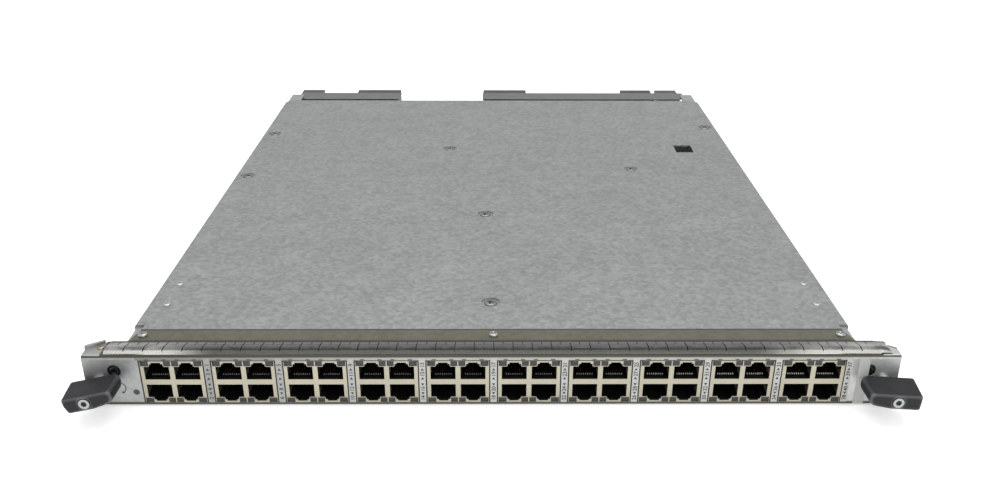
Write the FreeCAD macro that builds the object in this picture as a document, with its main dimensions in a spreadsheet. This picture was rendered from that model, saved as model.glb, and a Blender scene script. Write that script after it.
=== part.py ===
import FreeCAD, Part
import math
import os
import re
import Sketcher
from FreeCAD import Placement, Rotation, Vector

# A switch line card with forty network sockets, in millimetres.
# X runs from left to right along the faceplate, Y from the front to the rear, Z up.
# The origin is on the tray's underside, halfway between faceplate and backplane connectors.

SIZES = (
    ("card_depth", 460.0, "faceplate front to the rear of the backplane connectors"),
    ("plate_width", 380.0, "faceplate, end to end"),
    ("plate_height", 27.4, "faceplate, bottom edge to top flange"),
    ("plate_wall", 1.5, "faceplate sheet"),
    ("plate_bend", 1.8, "outer radius of the faceplate's bends"),
    ("plate_top_flange", 13.2, "depth of the top flange"),
    ("plate_bottom_flange", 9.0, "depth of the bottom flange"),
    ("plate_end_return", 7.2, "depth of the end walls"),
    ("corner_cut_width", 7.6, "bevel at each end of the top flange, along X"),
    ("corner_cut_depth", 4.8, "that bevel, front to rear"),
    ("corner_lip_height", 1.8, "turned-up lip along that bevel"),
    ("seam_gap", 0.3, "clearance between sheets that don't touch"),
    ("gasket_left_gap", 1.2, "gasket's left end to the rivet head beside it"),
    ("gasket_right_gap", 0.3, "gasket's right end to the rivet head beside it"),
    ("gasket_sheet", 0.3, "spring sheet of the gasket"),
    ("gasket_front", 1.3, "front lip of the gasket behind the faceplate's front"),
    ("gasket_rear", 13.0, "rear lip of the gasket behind the faceplate's front"),
    ("gasket_crown", 2.0, "height of the fingers above the flange"),
    ("gasket_crown_place", 3.75, "crown of the fingers behind the front lip"),
    ("gasket_step", 1.5, "height of the wall behind the front lip"),
    ("gasket_step_depth", 1.4, "top of that wall behind the front lip"),
    ("gasket_heel", 1.5, "flat rear lip, front to rear"),
    ("gasket_rim", 0.5, "height of the front lip"),
    ("finger_count", 40.0, "gasket fingers"),
    ("finger_slit", 0.45, "gap between two fingers"),
    ("slit_front", 0.9, "slits start behind the front lip"),
    ("slit_rear", 1.2, "slits end in front of the rear lip"),
    ("rivet_head", 3.8, "diameter of the gasket's end rivets"),
    ("rivet_rise", 0.9, "height of a rivet head"),
    ("rivet_shank", 2.4, "diameter of a rivet's shank"),
    ("rivet_depth", 7.4, "rivets behind the faceplate's front"),
    ("rivet_inset", 6.9, "rivets in from the faceplate's ends"),
    ("block_end_space", 22.0, "least faceplate left beside the end blocks"),
    ("block_pitch", 33.2, "spacing of the socket blocks"),
    ("block_shift", 0.4, "centre of the row of blocks, to the right of the card's centre"),
    ("block_centre", 13.3, "height of the web between the two rows of sockets"),
    ("block_width", 29.0, "shield can, side to side"),
    ("block_height", 22.6, "shield can, bottom to top"),
    ("block_depth", 33.0, "shield can, front to rear"),
    ("block_step_depth", 23.7, "front part of the can that hangs below the board's top"),
    ("block_clearance", 0.15, "gap between can and faceplate cut-out, all round"),
    ("can_sheet", 0.3, "sheet of the shield can"),
    ("socket_pitch", 13.97, "spacing of two sockets in a row"),
    ("socket_width", 11.65, "socket opening"),
    ("socket_height", 7.15, "socket opening without its latch notch"),
    ("socket_depth", 14.0, "how far a socket goes in"),
    ("web_height", 2.8, "web between the upper and lower sockets"),
    ("notch_wide", 6.3, "wide part of the latch notch"),
    ("notch_wide_rise", 1.2, "height of that wide part"),
    ("notch_narrow", 4.5, "narrow part of the latch notch"),
    ("notch_narrow_rise", 0.75, "height of that narrow part"),
    ("light_width", 3.0, "light window beside the latch notch"),
    ("light_height", 2.1, "light window, bottom to top"),
    ("light_inset", 3.5, "inner edge of a light window from the socket's middle"),
    ("light_lift", 0.1, "light window above the socket opening"),
    ("light_depth", 0.9, "thickness of the light pipe's window"),
    ("light_recess", 0.1, "window behind the can's front"),
    ("part_gap", 0.05, "clearance of a moulding in its can or window"),
    ("contact_width", 7.5, "eight contact springs of a socket, side by side"),
    ("contact_wire", 0.36, "thickness of a contact spring"),
    ("contact_lift", 0.35, "contact springs above the web at their front"),
    ("contact_start", 2.4, "contact springs start behind the moulding's front"),
    ("contact_rise", 1.9, "height that the contact springs climb"),
    ("tray_wall", 1.2, "sheet of the tray"),
    ("ear_width", 15.3, "faceplate beyond the tray at each side"),
    ("tray_height", 24.7, "tray underside to the top of its side flanges"),
    ("tray_flange", 10.0, "width of the tray's top flanges"),
    ("tray_wall_front", 16.0, "side walls start behind the faceplate's front"),
    ("tray_wall_end", 24.0, "side walls end in front of the card's rear"),
    ("tray_end", 8.0, "floor ends in front of the card's rear"),
        ("vent_pitch", 24.6, "spacing of the air slots in the side walls"),
    ("vent_width", 17.0, "air slot along the wall"),
    ("vent_low", 3.6, "lower end of the air slots"),
    ("vent_high", 18.4, "upper end of the air slots"),
    ("vent_first", 44.0, "first air slot behind the faceplate's front"),
    ("vent_end_space", 16.0, "least wall left behind the last air slot"),
    ("cover_sheet", 1.2, "sheet of the top cover"),
    ("cover_gap", 0.1, "side clearance of the cover on the tray"),
    ("cover_front", 27.0, "cover's front edge behind the faceplate's front"),
    ("cover_end", 45.7, "cover's rear edge in front of the card's rear"),
    ("cover_flange", 6.0, "depth of the cover's side flanges"),
    ("cover_bend", 1.5, "outer radius of the cover's bends"),
    ("cover_notch_width", 5.2, "front corner notch, in from the side"),
    ("cover_notch_depth", 4.5, "front corner notch, front to rear"),
    ("cover_bevel_width", 7.0, "rear corner bevel, in from the side"),
    ("cover_bevel_depth", 5.0, "rear corner bevel, front to rear"),
    ("window_inset", 39.7, "square window's left edge in from the tray's right side"),
    ("window_front", 283.0, "square window, front edge behind the faceplate's front"),
    ("window_side", 12.8, "square window along X"),
    ("window_length", 16.0, "square window along Y"),
    ("recess_width", 9.6, "round recess of a cover screw"),
    ("recess_depth", 0.6, "depth of that recess"),
    ("cover_screw_head", 6.8, "cover screw head"),
    ("cover_screw_rise", 0.8, "height of a cover screw head"),
    ("cover_screw_shank", 2.9, "cover screw shank"),
    ("cover_screw_length", 5.0, "cover screw below its head"),
    ("edge_screw_inset", 7.1, "edge screws of the cover in from the tray's sides"),
    ("edge_screw_rear", 325.0, "rear left edge screw behind the faceplate's front"),
    ("edge_screw_front", 235.4, "front left edge screw"),
    ("edge_screw_right", 342.0, "right edge screw"),
    ("post_1_side", -31.3, "first cover screw on a post, along X"),
    ("post_1_depth", 291.4, "that screw behind the faceplate's front"),
    ("post_2_side", -4.4, "second cover screw on a post"),
    ("post_2_depth", 169.1, "that screw behind the faceplate's front"),
    ("post_3_side", -1.0, "third cover screw on a post"),
    ("post_3_depth", 54.6, "that screw behind the faceplate's front"),
    ("post_4_side", 97.0, "fourth cover screw on a post"),
    ("post_4_depth", 249.0, "that screw behind the faceplate's front"),
    ("screw_gap", 0.1, "radial clearance of a screw in its hole"),
    ("post_width", 6.0, "threaded post under the cover"),
    ("post_bore_depth", 6.0, "depth of the thread in a post"),
    ("cover_rivet_head", 4.4, "rivets near the cover's front corners"),
    ("cover_rivet_rise", 0.7, "height of those rivet heads"),
    ("cover_rivet_shank", 2.6, "shank of those rivets"),
    ("cover_rivet_inset", 8.1, "those rivets in from the tray's sides"),
    ("cover_rivet_front", 52.5, "front rivets behind the faceplate's front"),
    ("cover_rivet_rear", 75.0, "rear rivets behind the faceplate's front"),
    ("rail_sheet", 1.2, "front rail sheet"),
    ("rail_front", 6.0, "front rail's hidden front edge"),
    ("rail_rear_inset", 4.2, "front rail's rear corners in from the tray's sides"),
    ("rail_overhang", 0.3, "front rail's front corners beyond the tray's sides"),
    ("rail_screw_depth", 21.3, "front rail screws behind the faceplate's front"),
    ("rail_screw_inset", 6.3, "outer front rail screws in from the tray's sides"),
    ("rail_screw_head", 4.6, "front rail screw head"),
    ("rail_screw_rise", 1.3, "height of a front rail screw head"),
    ("rail_screw_shank", 2.3, "front rail screw shank"),
    ("rail_screw_length", 4.0, "front rail screw below its head"),
    ("rail_post_width", 3.6, "post between the two middle socket blocks"),
    ("board_thickness", 2.4, "main circuit board"),
    ("board_bottom", 4.2, "underside of the main board above the tray's underside"),
    ("board_side_gap", 9.5, "main board to the tray's side walls"),
    ("board_end", 5.0, "main board ends in front of the card's rear"),
    ("standoff_width", 6.0, "board standoff"),
    ("board_screw_head", 5.4, "board screw head"),
    ("board_screw_rise", 1.6, "height of a board screw head"),
    ("board_screw_shank", 2.9, "board screw shank"),
    ("board_screw_grip", 2.0, "board screw below the board"),
    ("board_screw_inset", 9.0, "outer board screws in from the board's sides"),
    ("board_screw_inner", 80.0, "inner front board screws from the card's centre"),
    ("board_screw_rear", 60.0, "rear board screws from the card's centre"),
    ("board_row_1", 60.0, "front row of board screws behind the faceplate's front"),
    ("board_row_2", 210.0, "second row of board screws"),
    ("board_row_3", 300.0, "third row of board screws"),
    ("board_row_end", 42.0, "last row of board screws in front of the card's rear"),
    ("chip_side", 42.0, "packet chip, square"),
    ("chip_height", 3.0, "packet chip on the board"),
    ("chip_left", -95.0, "left packet chip, along X"),
    ("chip_right", 70.0, "right packet chip, along X"),
    ("chip_depth", 150.0, "packet chips behind the faceplate's front"),
    ("sink_side", 64.0, "heat sink, square"),
    ("sink_base", 3.0, "heat sink base"),
    ("sink_height", 13.5, "heat sink with its fins"),
    ("fin_count", 12.0, "heat sink fins"),
    ("fin_thickness", 1.2, "heat sink fin"),
    ("converter_width", 61.0, "power converter, side to side"),
    ("converter_length", 58.0, "power converter, front to rear"),
    ("converter_height", 11.5, "power converter on the board"),
    ("converter_side", -105.0, "power converter, along X"),
    ("converter_depth", 345.0, "power converter behind the faceplate's front"),
    ("plug_top", 22.0, "top of the backplane connectors"),
    ("plug_length", 30.0, "backplane connectors, front to rear"),
    ("plug_bevel", 3.0, "bevel along the connectors' front upper edge"),
    ("plug_rim", 1.6, "wall above and below the contact slots"),
    ("plug_end_wall", 2.0, "least wall beside the end slots"),
    ("plug_wide", 38.0, "the two wide backplane connectors"),
    ("plug_narrow", 27.0, "the narrow backplane connector"),
    ("plug_slot", 1.1, "contact slot in a backplane connector"),
    ("plug_slot_pitch", 3.3, "spacing of those slots"),
    ("plug_slot_depth", 8.0, "depth of those slots"),
    ("plug_left_inset", 73.7, "left backplane connector in from the tray's left side"),
    ("plug_middle_centre", 11.0, "middle backplane connector, along X"),
    ("plug_right_inset", 46.2, "right backplane connector in from the tray's right side"),
    ("guide_width", 19.0, "guide socket block"),
    ("guide_length", 26.0, "guide socket block, front to rear"),
    ("guide_bore", 8.0, "guide socket"),
    ("guide_bore_depth", 20.0, "depth of the guide socket"),
    ("guide_left_inset", 14.7, "left guide socket in from the tray's left side"),
    ("guide_right_inset", 19.2, "right guide socket in from the tray's right side"),
    ("guide_axis", 14.2, "height of the guide sockets"),
    ("ledge_sheet", 1.2, "sheet of the rear ledges"),
    ("ledge_top", 20.0, "top of the rear ledges"),
    ("ledge_start", 36.0, "rear ledges start in front of the card's rear"),
    ("ledge_end", 4.0, "rear ledges end in front of the card's rear"),
    ("knob_axis_inset", 6.7, "knob axes in from the faceplate's ends"),
    ("knob_axis_height", 14.1, "knob axes above the tray's underside"),
    ("knob_front", 19.2, "knob face in front of the faceplate"),
    ("knob_back", 2.0, "knob back in front of the faceplate"),
    ("knob_outboard", 12.8, "knob axis to its outer end, at the back"),
    ("knob_outboard_front", 10.8, "knob axis to its outer end, at the face"),
    ("knob_inboard", 13.2, "knob axis to its inner end"),
    ("knob_rise", 3.85, "knob axis to its top"),
    ("knob_drop", 3.75, "knob axis to its underside"),
    ("knob_drop_inboard", 2.2, "knob axis to its underside at the inner end"),
    ("knob_slope_start", 3.0, "underside starts to climb, inward of the axis"),
    ("knob_corner", 5.0, "rounding of the knob's inner back corner"),
    ("knob_belly", 3.4, "rounding of the knob's inner lower edge"),
    ("knob_shoulder", 1.6, "rounding of the knob's inner upper edge"),
    ("knob_edge", 0.6, "bevel round the knob's face"),
    ("knob_left_turn", -12.5, "left knob's turn, in degrees, as it was left"),
    ("knob_right_turn", 4.0, "right knob's turn, in degrees, as it was left"),
    ("spindle_width", 4.0, "spindle that the knob sits on"),
    ("spindle_front", 12.0, "spindle's front end in front of the faceplate"),
    ("running_gap", 0.05, "radial clearance of the spindle in its bush"),
    ("collar_width", 7.2, "collar behind the bush"),
    ("collar_length", 2.0, "collar, front to rear"),
    ("thread_width", 5.0, "threaded end"),
    ("thread_end", 27.0, "threaded end behind the faceplate's front"),
    ("thread_chamfer", 0.8, "chamfer of the threaded end"),
    ("bush_width", 6.0, "bush through faceplate and bracket"),
    ("bush_front", 1.7, "bush in front of the faceplate"),
    ("bush_flange_width", 9.0, "flange behind the bracket"),
    ("bush_flange_length", 1.0, "thickness of that flange"),
    ("cap_head", 5.0, "knob screw head"),
    ("cap_head_length", 3.0, "height of the knob screw head"),
    ("cap_shank", 2.9, "knob screw shank"),
    ("cap_length", 8.0, "knob screw below its head"),
    ("cap_hex", 2.5, "hexagon socket, across its flats"),
    ("cap_hex_depth", 1.6, "depth of the hexagon socket"),
    ("bracket_sheet", 1.5, "knob bracket sheet"),
    ("bracket_inset", 2.4, "knob bracket's outer edge in from the faceplate's end"),
    ("bracket_low", 3.0, "knob bracket's lower edge"),
    ("bracket_high", 23.3, "knob bracket's upper edge"),
    ("bracket_reach", 38.0, "knob bracket's arm ends behind the faceplate's front"),
    ("bracket_screw_inset", 14.2, "bracket screws in from the faceplate's ends"),
    ("bracket_screw_height", 19.4, "bracket screws above the tray's underside"),
    ("bracket_screw_head", 6.3, "bracket screw head"),
    ("bracket_screw_sink", 1.2, "depth of its countersink"),
    ("bracket_screw_shank", 3.9, "bracket screw shank"),
    ("bracket_screw_length", 5.0, "bracket screw, end to end"),
    ("bracket_screw_recess", 0.05, "bracket screw head behind the faceplate's front"),
    ("lamp_inset", 22.9, "status light in from the faceplate's left end"),
    ("lamp_height", 7.75, "status light above the tray's underside"),
    ("lamp_width", 2.9, "status light rod"),
    ("lamp_length", 7.0, "status light rod, front to rear"),
)

# Places tied to the card's sides: X as an expression, then the distance behind the front.
LEFT_SIDE = "(ear_width-plate_width/2)"
RIGHT_SIDE = "(plate_width/2-ear_width)"
COVER_WIDTH = "(plate_width-2*ear_width+2*cover_sheet+2*cover_gap)"
BOARD_HALF = "(plate_width/2-ear_width-tray_wall-board_side_gap)"
BOARD_FRONT = "(block_step_depth+seam_gap)"
BOARD_TOP = "board_bottom+board_thickness"
KNOB_AXIS = "(plate_width/2-knob_axis_inset)"
BRACKET_SCREW = "(plate_width/2-bracket_screw_inset)"
RIVET = "(plate_width/2-rivet_inset)"
EDGE_SCREWS = ((LEFT_SIDE + "+edge_screw_inset", "edge_screw_rear"),
               (LEFT_SIDE + "+edge_screw_inset", "edge_screw_front"),
               (RIGHT_SIDE + "-edge_screw_inset", "edge_screw_right"))
POST_SCREWS = tuple(("post_%d_side" % number, "post_%d_depth" % number) for number in range(1, 5))
COVER_RIVETS = tuple((side, distance) for distance in ("cover_rivet_front", "cover_rivet_rear")
                     for side in (LEFT_SIDE + "+cover_rivet_inset", RIGHT_SIDE + "-cover_rivet_inset"))
BOARD_SCREWS = tuple((sign + half, distance) for half, distance in (
    ("(%s-board_screw_inset)" % BOARD_HALF, "board_row_1"), ("board_screw_inner", "board_row_1"),
    ("(%s-board_screw_inset)" % BOARD_HALF, "board_row_2"),
    ("(%s-board_screw_inset)" % BOARD_HALF, "board_row_3"),
    ("board_screw_rear", "card_depth-board_row_end")) for sign in ("-", ""))

# Small heads, and the threads that the card hides, have a few flat sides instead of a curve.
HEAD_SIDES = 12
SHANK_SIDES = 6

NAMES = {name for name, value, note in SIZES}

doc = FreeCAD.newDocument("line_card")
sheet = doc.addObject("Spreadsheet::Sheet", "Sizes")
for row, (name, value, note) in enumerate(SIZES, 1):
    sheet.set("A%d" % row, name)
    sheet.set("B%d" % row, str(value))
    sheet.set("C%d" % row, note)
    sheet.setAlias("B%d" % row, name)
doc.recompute()

pieces = []


# ---------------------------------------------------------------- small tools

def size(name):
    """A driving size as a number."""
    return float(getattr(sheet, name))


def count_blocks():
    """As many socket blocks as the faceplate has room for."""
    room = size("plate_width") - 2 * size("block_end_space") - size("block_width")
    return int(room / size("block_pitch")) + 1


BLOCKS = count_blocks()
# the rail's middle screw stands between two blocks
MIDDLE_WEB = "(block_shift-%d*block_pitch/2)" % (BLOCKS % 2)
RAIL_SCREWS = (LEFT_SIDE + "+rail_screw_inset", MIDDLE_WEB, RIGHT_SIDE + "-rail_screw_inset")


def sized(expression):
    """Point every size name in an expression at its cell."""
    return re.sub("[a-z][a-z_0-9]*", lambda word: "Sizes." + word[0] if word[0] in NAMES else word[0], expression)


def bind(thing, **properties):
    """Tie an object's properties to expressions of the sizes."""
    for name, expression in properties.items():
        thing.setExpression(name.replace("__", "."), sized(expression))


def behind(distance):
    """Y of a place behind the faceplate's front."""
    return "(%s)-card_depth/2" % distance


def piece(thing, label):
    """Note an object as a finished piece with its own name."""
    thing.Label = label
    pieces.append(thing)
    return thing


def new_body(label):
    body = doc.addObject("PartDesign::Body", label)
    return piece(body, label)


def new_sketch(body, name, role, height):
    """A sketch on one of the body's origin planes, moved along the plane's normal."""
    planes = [feature for feature in body.Origin.OriginFeatures if feature.Role == role]
    sketch = body.newObject("Sketcher::SketchObject", name)
    sketch.AttachmentSupport = [(planes[0], "")]
    sketch.MapMode = "FlatFace"
    bind(sketch, AttachmentOffset__Base__z=height)
    return sketch


def front_sketch(body, name, distance):
    """A sketch of X and Z, standing a distance behind the faceplate's front."""
    return new_sketch(body, name, "XZ_Plane", "card_depth/2-(%s)" % distance)


def side_sketch(body, name, across):
    """A sketch of Y and Z at a place along X."""
    return new_sketch(body, name, "YZ_Plane", across)


def level_sketch(body, name, height):
    """A sketch of X and Y at a height."""
    return new_sketch(body, name, "XY_Plane", height)


def outline(sketch, corners):
    """A closed outline of straight lines through corners given as expressions."""
    first = sketch.GeometryCount
    count = len(corners)
    ring = [Vector(math.cos(turn * 2 * math.pi / count), math.sin(turn * 2 * math.pi / count), 0)
            for turn in range(count)]
    sketch.addGeometry([Part.LineSegment(ring[i], ring[(i + 1) % count]) for i in range(count)], False)
    sketch.addConstraint([Sketcher.Constraint("Coincident", first + i, 2, first + (i + 1) % count, 1)
                          for i in range(count)])
    for i, corner in enumerate(corners):
        for direction, expression in zip(("DistanceX", "DistanceY"), corner):
            index = sketch.addConstraint(Sketcher.Constraint(direction, -1, 1, first + i, 1, 1.0 + i))
            sketch.setExpression("Constraints[%d]" % index, sized(expression))


def rectangle(sketch, left, right, low, high):
    outline(sketch, ((left, low), (right, low), (right, high), (left, high)))


def circle(sketch, across, up, diameter):
    index = sketch.addGeometry(Part.Circle(Vector(0, 0, 0), Vector(0, 0, 1), 1.0), False)
    for constraint, expression in (
            (Sketcher.Constraint("DistanceX", -1, 1, index, 3, 1.0), across),
            (Sketcher.Constraint("DistanceY", -1, 1, index, 3, 1.0), up),
            (Sketcher.Constraint("Diameter", index, 2.0), diameter)):
        number = sketch.addConstraint(constraint)
        sketch.setExpression("Constraints[%d]" % number, sized(expression))


def corner_of(number, sides):
    """Cosine and sine of a corner's turn, for a polygon with that many sides."""
    turn = number * 2 * math.pi / sides
    return round(math.cos(turn), 6), round(math.sin(turn), 6)


def threaded_hole(sketch, across, up, width):
    """The outline that a shank of few sides passes through."""
    outline(sketch, [("(%s)+(%s)/2*(%s)" % (across, width, cosine), "(%s)+(%s)/2*(%s)" % (up, width, sine))
                     for cosine, sine in (corner_of(number, SHANK_SIDES) for number in range(SHANK_SIDES))])


def pad(body, sketch, length, reverse=False, middle=False):
    feature = body.newObject("PartDesign::Pad", sketch.Name + "_pad")
    feature.Profile = sketch
    feature.Reversed = reverse
    feature.Midplane = middle
    bind(feature, Length=length)
    doc.recompute()
    return feature


def pocket(body, sketch, depth=None, reverse=False, middle=False):
    """A cut of a given depth, or right through; it has to take something away."""
    before = body.Shape.Volume
    feature = body.newObject("PartDesign::Pocket", sketch.Name + "_pocket")
    feature.Profile = sketch
    feature.Reversed = reverse
    feature.Midplane = middle
    if depth is None:
        feature.Type = "ThroughAll"
    else:
        bind(feature, Length=depth)
    doc.recompute()
    if feature.Shape.Volume >= before:
        raise RuntimeError("%s cuts nothing" % feature.Name)
    return feature


def row_of(body, features, sketch, axis, length, count):
    """Repeat features along an axis of a sketch."""
    pattern = body.newObject("PartDesign::LinearPattern", features[-1].Name + "_row")
    pattern.Originals = features
    pattern.Direction = (sketch, [axis])
    bind(pattern, Length=length, Occurrences=count)
    body.Tip = pattern
    doc.recompute()
    return pattern


def edges_where(shape, along, test):
    """Names of the edges whose ends pass a test; along is an axis that they follow, or None."""
    names = []
    for number, edge in enumerate(shape.Edges, 1):
        if len(edge.Vertexes) != 2:
            continue
        start, end = [corner.Point for corner in edge.Vertexes]
        run = end - start
        follows = along is None or run.Length - abs(run.dot(along)) < 0.001
        if follows and test(start) and test(end):
            names.append("Edge%d" % number)
    return names


def near(a, b):
    return abs(a - b) < 0.01


ACROSS = Vector(1, 0, 0)
DEEP = Vector(0, 1, 0)
UPRIGHT = Vector(0, 0, 1)


def round_edges(body, base, along, test, radius):
    fillet = body.newObject("PartDesign::Fillet", base.Name + "_round")
    fillet.Base = (base, edges_where(base.Shape, along, test))
    bind(fillet, Radius=radius)
    doc.recompute()
    return fillet


def bevel_edges(body, base, test, width):
    chamfer = body.newObject("PartDesign::Chamfer", base.Name + "_bevel")
    chamfer.Base = (base, edges_where(base.Shape, None, test))
    bind(chamfer, Size=width)
    doc.recompute()
    return chamfer


def prism(name, sides, width, length, across, distance, height, direction):
    """A bar of flat sides from a point, its corners on the given width."""
    bar = doc.addObject("Part::Prism", name)
    bar.Polygon = sides
    bar.Placement = Placement(Vector(0, 0, 0), direction)
    bind(bar, Circumradius="(%s)/2" % width, Height=length, Placement__Base__x=across,
         Placement__Base__y=behind(distance), Placement__Base__z=height)
    return bar


def cylinder(name, diameter, length, across, distance, height, direction):
    """A round bar from a point, along a direction given as a rotation of +Z."""
    bar = doc.addObject("Part::Cylinder", name)
    bar.Placement = Placement(Vector(0, 0, 0), direction)
    bind(bar, Radius="(%s)/2" % diameter, Height=length, Placement__Base__x=across,
         Placement__Base__y=behind(distance), Placement__Base__z=height)
    return bar


UP = Rotation(Vector(0, 0, 1), Vector(0, 0, 1))
BACK = Rotation(Vector(0, 0, 1), Vector(0, 1, 0))


def fused(name, parts):
    whole = doc.addObject("Part::MultiFuse", name)
    whole.Shapes = parts
    whole.Refine = True
    return whole


def group(label, parts):
    """Separate solids that share one name, such as a set of screws."""
    whole = doc.addObject("Part::Compound", label)
    whole.Links = parts
    return piece(whole, label)


def headed_pin(name, across, distance, top, head, rise, shank, length, sides=HEAD_SIDES):
    """A screw or rivet that stands upright, its head's underside at a height."""
    cap = prism(name + "_head", sides, head, rise, across, distance, top, UP)
    stem = prism(name + "_shank", SHANK_SIDES, shank, "(%s)+(%s)/2" % (length, rise), across, distance,
                 "(%s)-(%s)" % (top, length), UP)
    return fused(name, [cap, stem])


# ---------------------------------------------------------------- faceplate and its gasket

def make_faceplate():
    """A folded sheet: front wall, top and bottom flanges, end walls and socket cut-outs."""
    body = new_body("faceplate")
    section = side_sketch(body, "plate_section", "0")
    outline(section, ((behind("0"), "0"), (behind("plate_bottom_flange"), "0"),
                      (behind("plate_bottom_flange"), "plate_wall"), (behind("plate_wall"), "plate_wall"),
                      (behind("plate_wall"), "plate_height-plate_wall"),
                      (behind("plate_top_flange"), "plate_height-plate_wall"),
                      (behind("plate_top_flange"), "plate_height"), (behind("0"), "plate_height")))
    base = pad(body, section, "plate_width", middle=True)
    for side, across in (("left", "-plate_width/2"), ("right", "plate_width/2-plate_wall")):
        wall = side_sketch(body, "plate_end_" + side, across)
        rectangle(wall, behind("0"), behind("plate_end_return"), "0", "plate_height")
        base = pad(body, wall, "plate_wall")
    front = -size("card_depth") / 2
    top = size("plate_height")
    base = round_edges(body, base, ACROSS,
                       lambda p: near(p.y, front) and (near(p.z, 0) or near(p.z, top)), "plate_bend")
    cut = None
    for side, sign in (("left", "-"), ("right", "")):
        corner = level_sketch(body, "plate_corner_" + side, "plate_height-plate_wall")
        outline(corner, ((sign + "plate_width/2+(%s0.5)" % sign, behind("plate_end_return")),
                         (sign + "(plate_width/2-corner_cut_width)", behind("plate_end_return+corner_cut_depth")),
                         (sign + "(plate_width/2-corner_cut_width)", behind("plate_top_flange+1")),
                         (sign + "plate_width/2+(%s0.5)" % sign, behind("plate_top_flange+1"))))
        cut = pocket(body, corner, reverse=True)
        lip = level_sketch(body, "plate_lip_" + side, "plate_height-plate_wall")
        outline(lip, ((sign + "plate_width/2", behind("plate_end_return-plate_wall")),
                      (sign + "plate_width/2", behind("plate_end_return")),
                      (sign + "(plate_width/2-corner_cut_width)", behind("plate_end_return+corner_cut_depth")),
                      (sign + "(plate_width/2-corner_cut_width)", behind("plate_end_return+corner_cut_depth-plate_wall"))))
        pad(body, lip, "plate_wall+corner_lip_height")
    opening = front_sketch(body, "plate_opening", "0")
    first = block_middle(0)
    half = "(block_width/2+block_clearance)"
    rectangle(opening, "%s-%s" % (first, half), "%s+%s" % (first, half),
              "block_centre-block_height/2-block_clearance", "block_centre+block_height/2+block_clearance")
    cut = pocket(body, opening, "plate_wall+1")
    row_of(body, [cut], opening, "H_Axis", "%d*block_pitch" % (BLOCKS - 1), str(BLOCKS))
    holes = front_sketch(body, "plate_holes", "0")
    for sign in ("-", ""):
        circle(holes, sign + KNOB_AXIS, "knob_axis_height", "bush_width")
        circle(holes, sign + BRACKET_SCREW, "bracket_screw_height", "bracket_screw_shank+2*screw_gap")
    circle(holes, "lamp_inset-plate_width/2", "lamp_height", "lamp_width+2*part_gap")
    drilled = pocket(body, holes, "plate_wall+1")
    names = ["Edge%d" % number for number, edge in enumerate(drilled.Shape.Edges, 1)
             if edge.Curve.TypeId == "Part::GeomCircle" and near(edge.Vertexes[0].Y, front)
             and near(edge.Curve.Radius, size("bracket_screw_shank") / 2 + size("screw_gap"))]
    countersink = body.newObject("PartDesign::Chamfer", "plate_countersink")
    countersink.Base = (drilled, names)
    bind(countersink, Size="bracket_screw_sink")
    doc.recompute()
    rivet_holes = level_sketch(body, "plate_rivet_holes", "plate_height")
    for sign in ("-", ""):
        threaded_hole(rivet_holes, sign + RIVET, behind("rivet_depth"), "rivet_shank+2*screw_gap")
    pocket(body, rivet_holes, "plate_wall+0.5")


def make_gasket():
    """A spring strip on the top flange: arched fingers between a front and a rear lip."""
    body = new_body("emi_gasket")
    middle = "(gasket_left_gap-gasket_right_gap)/2"
    length = "(plate_width-2*rivet_inset-rivet_head-gasket_left_gap-gasket_right_gap)"
    base = "plate_height"
    crown = "gasket_front+gasket_crown_place"
    wall = "gasket_front+gasket_step_depth"
    section = side_sketch(body, "gasket_section", middle)
    outline(section, (
        (behind("gasket_front"), base),
        (behind("gasket_front+gasket_sheet"), base),
        (behind(wall + "+gasket_sheet"), base + "+gasket_step-gasket_sheet"),
        (behind(crown), base + "+gasket_crown-gasket_sheet"),
        (behind("gasket_rear-gasket_heel"), base),
        (behind("gasket_rear"), base),
        (behind("gasket_rear"), base + "+gasket_sheet"),
        (behind("gasket_rear-gasket_heel"), base + "+gasket_sheet"),
        (behind(crown), base + "+gasket_crown"),
        (behind(wall), base + "+gasket_step"),
        (behind("gasket_front"), base + "+gasket_rim")))
    pad(body, section, length, middle=True)
    slit = level_sketch(body, "gasket_slit", "plate_height-plate_wall")
    pitch = length + "/finger_count"
    first = middle + "-" + length + "/2+" + pitch
    rectangle(slit, first + "-finger_slit/2", first + "+finger_slit/2",
              behind("gasket_front+slit_front"), behind("gasket_rear-slit_rear"))
    cut = pocket(body, slit, reverse=True)
    row_of(body, [cut], slit, "H_Axis", "(finger_count-2)*" + pitch, "finger_count-1")


def make_gasket_rivets():
    rivets = []
    for side, sign in (("left", "-"), ("right", "")):
        rivets.append(headed_pin("gasket_rivet_" + side, sign + RIVET, "rivet_depth",
                                 "plate_height", "rivet_head", "rivet_rise", "rivet_shank", "plate_wall"))
    group("gasket_rivets", rivets)


# ---------------------------------------------------------------- socket blocks

def socket_outline(sketch, centre, row, stepped=True):
    """A socket's mouth with its latch notch; row is +1 above the web, -1 below it."""
    sign = "+" if row > 0 else "-"
    near_web = "block_centre%sweb_height/2" % sign
    far = near_web + "%ssocket_height" % sign
    wide = far + "%snotch_wide_rise" % sign
    narrow = wide + "%snotch_narrow_rise" % sign
    steps = [("socket_width/2", near_web), ("socket_width/2", far), ("notch_wide/2", far)]
    if stepped:
        steps += [("notch_wide/2", wide), ("notch_narrow/2", wide), ("notch_narrow/2", narrow)]
    else:
        steps.append(("notch_wide/2", narrow))
    right = [("%s+%s" % (centre, half), up) for half, up in steps]
    left = [("%s-%s" % (centre, half), up) for half, up in reversed(steps)]
    outline(sketch, right + left)


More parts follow.
